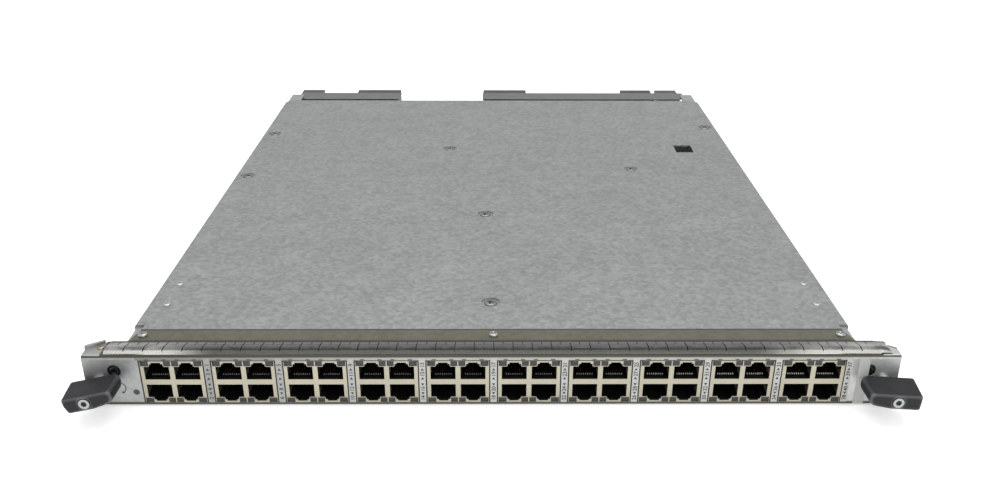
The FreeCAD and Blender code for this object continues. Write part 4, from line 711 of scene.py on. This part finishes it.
LOOKS = {
    "faceplate_steel": make_faceplate(),
    "spring_strip": make_spring_strip(),
    "rivet_zinc": machined_metal("rivet_olive_zinc", (0.34, 0.32, 0.24), 0.38),
    "can_nickel": sheet_metal("can_nickel", (0.40, 0.375, 0.30), 0.36, spangle=900, contrast=0.06,
                              edge=0.12, dust=0.05),
    "socket_black": moulded_plastic("socket_black", (0.004, 0.004, 0.0045), 0.55, edge=0.1, grain=0.006,
                                    dust=0.0, shine=0.2),
    "contact_gold": machined_metal("contact_gold", (0.80, 0.66, 0.36), 0.25, edge=0.05),
    "light_pipe": make_lens("light_pipe", (0.014, 0.0125, 0.011)),
    "tray_galvanised": sheet_metal("tray_galvanised", (0.40, 0.41, 0.41), 0.46, spangle=190, contrast=0.14),
    "cover_galvanised": sheet_metal("cover_galvanised", (0.335, 0.352, 0.347), 0.47, spangle=520,
                                    contrast=0.26, scratches=0.3),
    "rail_chromate": sheet_metal("rail_chromate", (0.165, 0.158, 0.118), 0.42, spangle=500, contrast=0.16,
                                 edge=0.2),
    "rail_screw_zinc": machined_metal("rail_screw_zinc", (0.42, 0.43, 0.42), 0.30),
    "cover_screw_zinc": machined_metal("cover_screw_zinc", (0.24, 0.25, 0.245), 0.36),
    "cover_rivet_zinc": machined_metal("cover_rivet_zinc", (0.46, 0.47, 0.46), 0.36),
    "post_steel": machined_metal("post_steel", (0.5, 0.5, 0.49), 0.35),
    "board_green": make_board(),
    "standoff_brass": machined_metal("standoff_brass", (0.62, 0.46, 0.22), 0.32),
    "board_screw_zinc": machined_metal("board_screw_zinc", (0.58, 0.58, 0.57), 0.3),
    "chip_black": moulded_plastic("chip_black", (0.018, 0.018, 0.019), 0.5, edge=0.2, grain=0.008),
    "sink_aluminium": sheet_metal("sink_aluminium", (0.62, 0.63, 0.64), 0.38, spangle=1200, contrast=0.03,
                                  brushed=0.01),
    "converter_black": moulded_plastic("converter_black", (0.02, 0.02, 0.022), 0.42, edge=0.4),
    "plug_grey": moulded_plastic("plug_grey", (0.030, 0.032, 0.032), 0.55, edge=0.35, grain=0.010),
    "guide_metal": machined_metal("guide_metal", (0.12, 0.125, 0.125), 0.45, edge=0.4),
    "ledge_steel": sheet_metal("ledge_steel", (0.20, 0.205, 0.205), 0.42, spangle=500, contrast=0.08),
    # the knobs' lighter edge colour is a painted highlight along their edges and ridges, with rubbed wear
    "knob_charcoal": moulded_plastic("knob_charcoal", (0.0095, 0.010, 0.0115), 0.50, edge=0.5,
                                     edge_colour=(0.16, 0.165, 0.17), grain=0.014, dust=0.03, shine=0.25,
                                     grain_scale=1700.0, ridges=0.8),
    "knob_screw_zinc": machined_metal("knob_screw_zinc", (0.34, 0.36, 0.355), 0.36),
    "jackscrew_steel": machined_metal("jackscrew_steel", (0.55, 0.55, 0.54), 0.28),
    "bush_steel": machined_metal("bush_steel", (0.60, 0.61, 0.60), 0.28),
    "bracket_steel": sheet_metal("bracket_steel", (0.42, 0.42, 0.41), 0.42),
    "screw_black": machined_metal("screw_black", (0.11, 0.11, 0.115), 0.26, edge=0.2, scratches=0.6),
    "lamp_lens": make_lens("lamp_lens", (0.035, 0.038, 0.036)),
}
# the label strips and the legend band carry painted shade towards the left of the row
LABEL_WHITE = make_paint("label_white", (0.43, 0.435, 0.415), painted_left_shade=0.62)
BAND_GREY = make_paint("band_grey", (0.36, 0.36, 0.34), painted_left_shade=0.5)
CONTACT_TIP = make_contact_tip()
SEAM_DARK = make_paint("seam_shadow", (0.055, 0.055, 0.05), 0.8)
PRINT_BLACK = make_paint("print_black", (0.03, 0.03, 0.032))
SLIT_DARK = make_paint("slit_shadow", (0.02, 0.02, 0.018), 0.9)


def dress_nodes():
    """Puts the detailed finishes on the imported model's own slots."""
    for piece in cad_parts.values():
        for place in piece.material_slots:
            for name, look in LOOKS.items():
                if place.material and place.material.name.split(".")[0] == name:
                    place.material = look
                    break


# ---------------------------------------------------------------- small fasteners
def ring(radius, sides):
    """The corners of a regular ring."""
    angles = [2 * math.pi * i / sides for i in range(sides)]
    return [(radius * math.cos(a), radius * math.sin(a)) for a in angles]


def cross_outline(reach, half):
    """The outline of a cross recess, anticlockwise."""
    quarter = [(reach, -half), (reach, half), (half, half)]
    corners = []
    for turn in range(4):
        angle = math.radians(90 * turn)
        along, across = math.cos(angle), math.sin(angle)
        corners += [(x * along - y * across, x * across + y * along) for x, y in quarter]
    return corners


def thread_profile(shank, length):
    """(radius, height) pairs of a threaded shank that hangs below its head, with a blunt point."""
    root, crest, neck = shank * 0.42, shank * 0.5, shank * 0.46
    point = 0.4
    pairs = [(shank * 0.30, -length), (root, -length + point)]
    height = -length + point
    while height + THREAD_PITCH < -0.3:
        pairs += [(crest, height + THREAD_PITCH / 2), (root, height + THREAD_PITCH)]
        height += THREAD_PITCH
    pairs.append((neck, 0.0))
    return pairs


def cross_screw(name, head, rise, shank, length, dome=0.62, seat=0.0):
    """A cross-recess screw with its seat at height 0, or countersunk by seat below its rim."""
    shape = Shape()
    full = head / 2
    rim = dome * head / 2
    neck = shank * 0.46
    shape.turned(thread_profile(shank, length), 10, close_high=False)
    if seat:
        body = [(neck, -seat), (full * 0.97, -0.12), (full, 0.0), (full * 0.985, 0.06), (rim, rise)]
    else:
        body = [(neck, 0.0), (full * 0.97, 0.0), (full, 0.08), (full, rise * 0.32),
                (full * 0.95, rise * 0.62), (full * 0.84, rise * 0.86), (rim, rise)]
    shape.turned(body, SCREW_SIDES, close_low=False, close_high=False)
    cross = cross_outline(head * 0.31, head * 0.075)
    shape.sunk_top(ring(rim, SCREW_SIDES), cross, rise, min(1.1, head * 0.2), 0.62)
    mesh = shape.mesh(name)
    smooth(mesh)
    return mesh


def dome_rivet(name, head, rise, shank, length):
    """A pulled rivet: low dome with a hollow at its middle."""
    shape = Shape()
    full = head / 2
    bore = head * 0.17
    shape.turned([(shank / 2, -length), (shank / 2, 0.0)], 12, close_high=False)
    shape.turned([(shank / 2, 0.0), (full * 0.98, 0.0), (full, 0.1), (full * 0.94, rise * 0.5),
                  (full * 0.72, rise * 0.88), (head * 0.24, rise), (bore, rise * 0.94),
                  (bore * 0.9, rise * 0.3)], SCREW_SIDES, close_low=False)
    mesh = shape.mesh(name)
    smooth(mesh)
    return mesh


def make_fasteners():
    """The screws and rivets of the case, the bracket and the gasket, over their plain solids."""
    # each cover screw's place across the card, and behind the faceplate's front
    cover_places = [(-167.6, 325.0), (-167.6, 235.4), (167.6, 342.0), (-31.3, 291.4), (-4.4, 169.1),
                    (-1.0, 54.6), (97.0, 249.0)]
    any_way = 3.1
    set_out("cover_screws_cross", cross_screw("cover_screw", 6.8, 0.8, 2.9, 5.0, dome=0.72),
            [(x, y + FRONT, DIMPLE_FLOOR) for x, y in cover_places], LOOKS["cover_screw_zinc"], "card",
            ("cover_screws",), spin=any_way, seed=4)
    set_out("rail_screws_cross", cross_screw("rail_screw", 4.6, 1.3, 2.3, 4.0),
            [(x, 21.3 + FRONT, COVER_TOP) for x in (-168.4, 0.4, 168.4)], LOOKS["rail_screw_zinc"], "card",
            ("front_rail_screws",), spin=any_way, seed=9)
    set_out("bracket_screws_cross", cross_screw("bracket_screw", 6.3, 0.02, 3.9, 4.95, dome=0.95, seat=1.2),
            [(x, FRONT + 0.07, 19.4) for x in (-175.8, 175.8)], LOOKS["screw_black"], "card",
            ("bracket_screws",), angles=(math.radians(90), 0, 0), spin=0.5, seed=2)
    set_out("cover_rivets_domed", dome_rivet("cover_rivet", 4.4, 0.7, 2.6, 2.4),
            [(x, y + FRONT, COVER_TOP) for x in (-166.6, 166.6) for y in (52.5, 75.0)],
            LOOKS["cover_rivet_zinc"], "card", ("cover_rivets",))
    set_out("gasket_rivets_domed", dome_rivet("gasket_rivet", 3.8, 0.9, 2.4, 1.5),
            [(x, 7.4 + FRONT, PLATE_TOP) for x in (-183.1, 183.1)], LOOKS["rivet_zinc"], "card",
            ("gasket_rivets",))


# ---------------------------------------------------------------- sockets
def block_middles():
    """Where the middle of each block is, across the card."""
    return [BLOCK_SHIFT + (i - (BLOCKS - 1) / 2) * BLOCK_PITCH for i in range(BLOCKS)]


def socket_middles():
    """Where the middle of each pair of mouths is, across the card."""
    return [middle + across * SOCKET_PITCH for middle in block_middles() for across in (-0.5, 0.5)]


def spring_places(gap):
    """Places and turns for the springs of all the sockets, a gap inside the mouths at the web."""
    places, angles = [], []
    for middle in socket_middles():
        for step in range(SPRINGS):
            x = middle + (step - (SPRINGS - 1) / 2) * SPRING_PITCH
            places.append((x, FRONT, BLOCK_CENTRE + HALF_WEB + gap))
            angles.append(UPRIGHT)
            places.append((x, FRONT, BLOCK_CENTRE - HALF_WEB - gap))
            angles.append(TURNED_OVER)
    return places, angles


def make_contacts():
    """Eight gold springs in each socket, low at the mouth and rising to the back."""
    half = 0.18
    shape = Shape()
    path = [(y - FRONT, z) for y, z in
            ((-226.2, 0.30), (-225.4, 0.22), (-224.0, 0.42), (-217.2, 1.86), (-216.3, 1.90))]
    shape.sweep(path, [(-half, -half), (half, -half), (half, half), (-half, half)])
    places, angles = spring_places(0.35)
    set_out("contact_springs", shape.mesh("contact_spring"), places, LOOKS["contact_gold"], "card",
            ("port_contacts",), angles=angles)


def make_contact_tips():
    """The rounded front ends of the springs, with a painted highlight where they catch the light in the
    mouths.
    """
    shape = Shape()
    shape.block((-0.2, -226.62 - FRONT, 0.02), (0.2, -226.2 - FRONT, 0.62))
    places, angles = spring_places(0.35)
    set_out("contact_tips", shape.mesh("contact_tip"), places, CONTACT_TIP, "card",
            angles=angles)


def make_shield_leaves():
    """Sprung leaves pressed from each can: they stand into the side walls of the mouths."""
    shape = Shape()
    # how far the leaf stands out, its depth behind the front, and half its height there
    bends = ((0.0, 0.5, 1.7), (0.42, 3.2, 1.3), (0.05, 6.4, 1.0))
    thick = 0.02
    sheet = [(0, 1, 3, 2), (2, 3, 5, 4)]
    for back, faces in ((0.0, sheet), (thick, [tuple(reversed(face)) for face in sheet])):
        shape.add([(out - back, y, way * half) for out, y, half in bends for way in (-1, 1)], faces)
    places, angles = [], []
    for middle in socket_middles():
        for row in (-1, 1):
            z = BLOCK_CENTRE + row * (HALF_WEB + 3.6)
            places.append((middle - MOUTH_WIDTH / 2, FRONT, z))
            angles.append(UPRIGHT)
            # the right wall's leaf is the same leaf turned over about the card's length
            places.append((middle + MOUTH_WIDTH / 2, FRONT, z))
            angles.append(TURNED_OVER)
    set_out("shield_leaves", shape.mesh("shield_leaf"), places, LOOKS["can_nickel"], "card",
            angles=angles)


# ---------------------------------------------------------------- prints and labels
def front_y(z):
    """How far forward the faceplate's skin is at a height, bends included."""
    for centre in (PLATE_TOP - BEND, BEND):
        off = z - centre
        if (centre > 10 and off > 0) or (centre < 10 and off < 0):
            return FRONT + BEND - math.sqrt(max(0.0, BEND * BEND - off * off))
    return FRONT


def wrapped_band(shape, x0, x1, z0, z1, thick=0.05):
    """A thin label on the faceplate that follows its bends, let in by a hair."""
    hair = 0.02
    bends = (0.4, 0.8, 1.2, 1.8, PLATE_TOP - BEND, 25.9, 26.2, 26.5, 26.8)
    heights = [z0] + [z for z in bends if z0 + hair < z < z1 - hair] + [z1]
    corners, faces = [], []
    for z in heights:
        y = front_y(z)
        corners += [(x0, y - thick, z), (x1, y - thick, z), (x1, y + hair, z), (x0, y + hair, z)]
    last = 4 * (len(heights) - 1)
    for a in range(0, last, 4):
        for k in range(4):
            m = (k + 1) % 4
            faces.append((a + k, a + m, a + 4 + m, a + 4 + k))
    faces.append((3, 2, 1, 0))
    faces.append((last, last + 1, last + 2, last + 3))
    shape.add(corners, faces)


def make_labels():
    """White strips between the blocks and on the right wing, a grey band over them, and painted shade in the
    gaps around the blocks.
    """
    shape = Shape()
    middles = block_middles()
    half, low, high = 1.45, 1.9, 26.0
    for middle in middles[:-1]:
        x = middle + BLOCK_PITCH / 2
        wrapped_band(shape, x - half, x + half, low, high)
    row_end = middles[-1] + BLOCK_WIDTH / 2
    wrapped_band(shape, row_end + 0.5, row_end + 0.5 + 2 * half, low, high)
    wrapped_band(shape, 170.8, 175.8, 0.3, 26.3, thick=0.10)
    place_piece("label_strips", shape.mesh("label_strips"), LABEL_WHITE, "card")
    band = Shape()
    wrapped_band(band, middles[0] - 16.4, middles[-1] + 17.9, 25.05, 26.2, thick=0.03)
    place_piece("light_legend_band", band.mesh("light_legend_band"), BAND_GREY, "card")
    # painted shade: dark strips beside and above each block, where the gap to the can lies in shade
    gaps = Shape()
    inner = BLOCK_WIDTH / 2
    outer = inner + 0.6
    for middle in middles:
        for x0, x1, z0, z1 in ((-outer, -inner, 2.0, 25.0), (inner, outer, 2.0, 25.0),
                               (-outer, outer, 24.6, 25.05)):
            wrapped_band(gaps, middle + x0, middle + x1, z0, z1, thick=0.02)
    place_piece("block_gaps", gaps.mesh("block_gaps"), SLIT_DARK, "card")


def text_outline(words, size):
    """The corners and faces of words in millimetres, centred and read upwards."""
    curve = bpy.data.curves.new("words", "FONT")
    curve.body = words
    curve.size = size
    curve.align_x = "CENTER"
    curve.align_y = "CENTER"
    curve.resolution_u = 2
    curve.offset = 0.06
    holder = link("words", curve)
    mesh = finished_mesh(holder)
    bpy.data.objects.remove(holder)
    flat = [(-v.co.y, v.co.x) for v in mesh.vertices]
    faces = [tuple(p.vertices) for p in mesh.polygons]
    bpy.data.meshes.remove(mesh)
    return flat, faces


def print_flat(shape, flat, faces, x, z, lift=PRINT_LIFT):
    """Lays a flat outline on the faceplate, its middle at x and z, a little in front of the steel."""
    shape.add([(x + a, FRONT - lift, z + b) for a, b in flat], faces)


def make_window_trim():
    """The light windows reach the can's edge, and a turned-in edge of the can frames two of their sides."""
    surround, frames = Shape(), Shape()
    edge = 11.22              # from the web's middle to the can's edge
    pipe = 10.7               # and to the light pipe's far side
    near = 8.65               # and to its near side
    frame_width, frame_height = 0.32, 0.3

    def lay(shape, xs, zs, lift, depth):
        (left, right), (low, high) = sorted(xs), sorted(BLOCK_CENTRE + z for z in zs)
        shape.block((left, FRONT - lift, low), (right, FRONT + depth, high))

    for middle in block_middles():
        for across in (-0.5, 0.5):
            for side in (-1, 1):
                for row in (-1, 1):
                    x = middle + across * SOCKET_PITCH + side * 5.0
                    outer, inner = x + side * 1.5, x - side * 1.5
                    can = middle + across * BLOCK_WIDTH if across * side > 0 else middle
                    rim = can - side * 0.25
                    lay(surround, (rim, inner), (row * edge, row * pipe), 0.03, 0.01)
                    lay(surround, (rim, outer), (row * (near + 0.05), row * edge), 0.03, 0.01)
                    frame_side, frame_end = inner - side * frame_width, row * (near - frame_height)
                    lay(frames, (inner, frame_side), (frame_end, row * edge), 0.06, 0.3)
                    lay(frames, (rim, frame_side), (frame_end, row * near), 0.06, 0.3)
    place_piece("window_surrounds", surround.mesh("window_surrounds"), LOOKS["light_pipe"], "card")
    place_piece("window_frames", frames.mesh("window_frames"), LOOKS["can_nickel"], "card")


def make_numbers():
    """Four port numbers and their triangles beside each block, and four dashes over it."""
    shape = Shape()
    number_size = 2.7
    middles = block_middles()
    for block, middle in enumerate(middles):
        x = middle + BLOCK_PITCH / 2 if middle != middles[-1] else middle + BLOCK_WIDTH / 2 + 1.95
        for port, z in enumerate((22.6, 4.4, 17.6, 9.4), 4 * block + 1):
            flat, faces = text_outline(str(port), number_size)
            print_flat(shape, flat, faces, x + 0.1, z)
        for z, up in ((20.1, 1), (6.9, -1), (15.2, 1), (11.8, -1)):
            triangle = [(-0.8, -0.65 * up), (0.8, -0.65 * up), (0.0, 0.75 * up)]
            print_flat(shape, triangle, [(0, 1, 2) if up > 0 else (2, 1, 0)], x, z)
    long, thick = 1.0, 0.22
    for middle in middles:
        for across in (-11.0, -3.0, 3.0, 11.0):
            left, right = across - long, across + long
            dash = [(left, -thick), (right, -thick), (right, thick), (left, thick)]
            print_flat(shape, dash, [(0, 1, 2, 3)], middle, 25.42)
    place_piece("port_numbers", shape.mesh("port_numbers"), PRINT_BLACK, "card")


def make_turn_arrow():
    """A bent double-headed arrow on the left wing: which way the knob turns."""
    shape = Shape()
    middle, height = -174.6, 10.1
    radius, half_line, half_head, head_turn = 2.9, 0.24, 0.85, 0.42
    steps = 18
    start, end = math.radians(-55), math.radians(160)
    lift = 0.02

    def at(distance, angle):
        return distance * math.cos(angle), distance * math.sin(angle)

    angles = [start + (end - start) * i / steps for i in range(steps + 1)]
    line = [at(radius + side * half_line, angle) for angle in angles for side in (-1, 1)]
    print_flat(shape, line, [(a, a + 1, a + 3, a + 2) for a in range(0, 2 * steps, 2)], middle, height, lift)
    for angle, way in ((start, -1), (end, 1)):
        head = [at(radius - half_head, angle), at(radius + half_head, angle),
                at(radius, angle + way * head_turn)]
        print_flat(shape, head, [(0, 1, 2) if way > 0 else (2, 1, 0)], middle, height, lift)
    place_piece("turn_arrow", shape.mesh("turn_arrow"), PRINT_BLACK, "card")


# ---------------------------------------------------------------- gasket
def skin_height(node, x, y):
    """The height of a node's top skin over a point, in millimetres."""
    hit, place, _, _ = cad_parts[node].ray_cast(Vector((x * MM, y * MM, 0.1)), Vector((0, 0, -1)))
    return place.z / MM if hit else None


def ribbon(shape, x0, x1, rows):
    """A thin ribbon across from x0 to x1, through (y, z) rows."""
    corners, faces = [], []
    for y, z in rows:
        corners += [(x0, y, z), (x1, y, z)]
    for i in range(len(rows) - 1):
        faces.append((2 * i, 2 * i + 1, 2 * i + 3, 2 * i + 2))
    shape.add(corners, faces)


def make_gasket_slits():
    """Painted shade of a short half slit at the middle of each finger, along the strip's rear slope."""
    low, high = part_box("emi_gasket")
    left, right = low[0] / MM, high[0] / MM
    fingers = 40
    pitch = (right - left) / fingers
    half = 0.2
    slope = (-221.6, -221.0, -220.4, -219.8, -219.2, -218.6, -218.0)
    shape = Shape()
    for i in range(fingers):
        x = left + (i + 0.5) * pitch
        rows = [(y, skin_height("emi_gasket", x, y)) for y in slope]
        rows = [(y, z + 0.03) for y, z in rows if z is not None and z > PLATE_TOP - 0.1]
        if len(rows) > 1:
            ribbon(shape, x - half, x + half, rows)
    place_piece("gasket_half_slits", shape.mesh("gasket_half_slits"), SLIT_DARK, "card")


def make_gasket_end():
    """The strip's right end, rolled down on to the faceplate's flange."""
    start, reach = 180.7, 5.6
    foot = PLATE_TOP + 0.02
    rows = []
    for step in range(12):
        y = -228.5 + step
        z = skin_height("emi_gasket", 177.5, y)
        if z is not None and z > PLATE_TOP - 0.05:
            rows.append((y, z))
    shape = Shape()
    steps = 9
    corners, faces = [], []
    for step in range(steps + 1):
        along = step / steps
        drop = math.sqrt(max(0.0, 1 - along ** 2.2))
        for y, z in rows:
            corners.append((start + reach * along, y, foot + (z - foot) * drop))
    count = len(rows)
    for step in range(steps):
        for i in range(count - 1):
            a = step * count + i
            faces.append((a, a + count, a + count + 1, a + 1))
    shape.add(corners, faces)
    mesh = shape.mesh("gasket_end")
    smooth(mesh, 60)
    place_piece("gasket_end", mesh, LOOKS["spring_strip"], "card")


def make_plain_corner():
    """The faceplate with its right corner flat: only the left corner keeps its turned-up lip."""
    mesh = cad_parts["faceplate"].data.copy()
    lip_start = 181.0
    for corner in mesh.vertices:
        if corner.co.x > lip_start * MM and corner.co.z > (PLATE_TOP + 0.05) * MM:
            corner.co.z = (PLATE_TOP - 0.3) * MM
    place_piece("faceplate_dressed", mesh, LOOKS["faceplate_steel"], "card",
                ("faceplate",))


def make_screw_hollows():
    """Painted shade on the floors of the hex hollows in the knob screws."""
    radius, sides, floor = 1.2, 20, -248.75
    for side, x in (("left", -KNOB_AXIS), ("right", KNOB_AXIS)):
        name = side + "_hex_hollow"
        shape = Shape()
        shape.add([(x + a, floor, KNOB_HEIGHT + b) for a, b in ring(radius, sides)], [tuple(range(sides))])
        place_piece(name, shape.mesh(name), SLIT_DARK, side + "_jack")


def make_cover_seam():
    """Painted shade in the joint between the cover and the rail, and a painted shadow on the rail where it
    meets the gasket.
    """
    sunk, proud = COVER_TOP - 0.04, COVER_TOP + 0.02
    shape = Shape()
    shape.block((-171.0, -203.75, sunk), (171.0, -202.75, proud + 0.01))
    shape.block((-172.0, -216.5, sunk), (172.0, -212.9, proud))
    place_piece("cover_seam", shape.mesh("cover_seam"), SEAM_DARK, "card")


# ---------------------------------------------------------------- knobs
def slope_outboard_end(mesh):
    """Draws the left knob's outer end in, most along its lower edge.

    It works along the knob's own length, which stands turned in the card at rest."""
    turn = math.radians(-12.5)
    start, length = 4.5, 6.0
    least, slope = 0.9, 0.32
    for corner in mesh.vertices:
        x, z = corner.co.x / MM + KNOB_AXIS, corner.co.z / MM - KNOB_HEIGHT
        out = -(x * math.cos(turn) - z * math.sin(turn))
        up = x * math.sin(turn) + z * math.cos(turn)
        along = min(1.0, max(0.0, (out - start) / length))
        shift = along * along * (least + slope * max(0.0, -up))
        corner.co.x += shift * math.cos(turn) * MM
        corner.co.z -= shift * math.sin(turn) * MM


def make_knobs():
    """The knobs with their moulded corners rounded: recut in small cells, then eased."""
    for side in ("left", "right"):
        node = side + "_knob"
        rough_form = link(node + "_form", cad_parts[node].data.copy())
        cells = rough_form.modifiers.new("cells", "REMESH")
        cells.mode = "VOXEL"
        cells.voxel_size = 0.34 * MM
        ease = rough_form.modifiers.new("ease", "SMOOTH")
        ease.factor = 0.5
        ease.iterations = 34
        mesh = finished_mesh(rough_form)
        bpy.data.objects.remove(rough_form)
        if side == "left":
            slope_outboard_end(mesh)
        mesh.shade_smooth()
        place_piece(node + "_rounded", mesh, LOOKS["knob_charcoal"], side + "_jack", (node,))


# ---------------------------------------------------------------- rear plugs
def make_rear_strips():
    """The folded steel strips over the front half of the rear plugs and guides."""
    shape = Shape()
    for left, right in ((-169.0, -80.5), (-8.5, 169.0)):
        shape.block((left, 200.2, 22.0), (right, 219.4, 22.35))
    place_piece("rear_strips", shape.mesh("rear_strips"), LOOKS["ledge_steel"], "card")


def make_plug_contacts():
    """Gold contacts in the slots of the rear plugs."""
    shape = Shape()
    shape.block((-0.3, 0.0, -0.5), (0.3, 5.0, 0.5))
    slot_pitch, border = 3.3, 4.0
    places = []
    for centre, width in ((-101.0, 38.0), (11.0, 38.0), (128.5, 27.0)):
        gaps = int((width - border) / slot_pitch)
        for i in range(gaps + 1):
            x = centre + (i - gaps / 2) * slot_pitch
            places += [(x, 224.0, z) for z in (8.0, 10.6, 13.2, 15.8, 18.4)]
    set_out("plug_contacts", shape.mesh("plug_contact"), places, LOOKS["contact_gold"], "card")


# ---------------------------------------------------------------- camera, floor and light
def make_camera():
    """The long view down the card from in front of the faceplate."""
    data = bpy.data.cameras.new("camera")
    data.lens = 34.231
    data.sensor_width = 36.0
    data.shift_y = 0.0028
    camera = bpy.data.objects.new("camera", data)
    camera.location = (-0.00045, -0.60565, 0.26083)
    camera.rotation_euler = [math.radians(a) for a in (64.809, -0.2113, -0.4471)]
    bpy.context.scene.collection.objects.link(camera)
    bpy.context.scene.camera = camera


def area_light(name, place, aim, size, power):
    """A soft square light that faces its aim."""
    data = bpy.data.lights.new(name, "AREA")
    data.shape = "RECTANGLE"
    data.size, data.size_y = size
    data.energy = power
    lamp = bpy.data.objects.new(name, data)
    lamp.location = place
    lamp.rotation_euler = (Vector(aim) - Vector(place)).to_track_quat("-Z", "Y").to_euler()
    bpy.context.scene.collection.objects.link(lamp)


def make_floor_paint():
    """Pale paint that shows from above only, so the underside can be seen through the floor."""
    paint = bpy.data.materials.new("floor_white")
    paint.use_nodes = True
    nodes, links = paint.node_tree.nodes, paint.node_tree.links
    surface = nodes["Principled BSDF"]
    for label, value in (("Base Color", (0.92, 0.92, 0.92, 1)), ("Roughness", 0.9),
                         ("Specular IOR Level", 0.1), ("Emission Color", (1, 1, 1, 1)),
                         ("Emission Strength", 0.42)):
        surface.inputs[label].default_value = value
    see_through = nodes.new("ShaderNodeBsdfTransparent")
    back = nodes.new("ShaderNodeNewGeometry")
    one_sided = nodes.new("ShaderNodeMixShader")
    links.new(back.outputs["Backfacing"], one_sided.inputs[0])
    links.new(surface.outputs[0], one_sided.inputs[1])
    links.new(see_through.outputs[0], one_sided.inputs[2])
    links.new(one_sided.outputs[0], nodes["Material Output"].inputs["Surface"])
    return paint


def make_stage():
    """A plain floor just under the tray, a white surround and two soft lights."""
    half = 6.0
    mesh = bpy.data.meshes.new("floor")
    corners = [(-half, -half, 0), (half, -half, 0), (half, half, 0), (-half, half, 0)]
    mesh.from_pydata(corners, [], [(0, 1, 2, 3)])
    mesh.materials.append(make_floor_paint())
    floor = link("floor", mesh)
    floor.location.z = -0.0002
    world = bpy.data.worlds.new("world")
    world.use_nodes = True
    tree = world.node_tree
    background = tree.nodes["Background"]
    seen = tree.nodes.new("ShaderNodeLightPath")
    strength = between(tree, seen.outputs["Is Camera Ray"], 0.0, 1.0, 0.78, 1.0)
    tree.links.new(strength, background.inputs["Strength"])
    background.inputs["Color"].default_value = (1, 1, 1, 1)
    bpy.context.scene.world = world
    area_light("overhead", (0.0, 0.1, 1.6), (0, 0, 0), (1.6, 1.2), 14.0)
    area_light("front_fill", (0.5, -1.5, 1.0), (0, -0.2, 0), (1.2, 0.8), 7.0)


make_camera()
make_stage()
dress_nodes()
make_fasteners()
make_contacts()
make_contact_tips()
make_shield_leaves()
make_labels()
make_window_trim()
make_numbers()
make_turn_arrow()
make_gasket_slits()
make_gasket_end()
make_plain_corner()
make_screw_hollows()
make_cover_seam()
make_knobs()
make_rear_strips()
make_plug_contacts()
bpy.context.scene.view_settings.view_transform = "Standard"
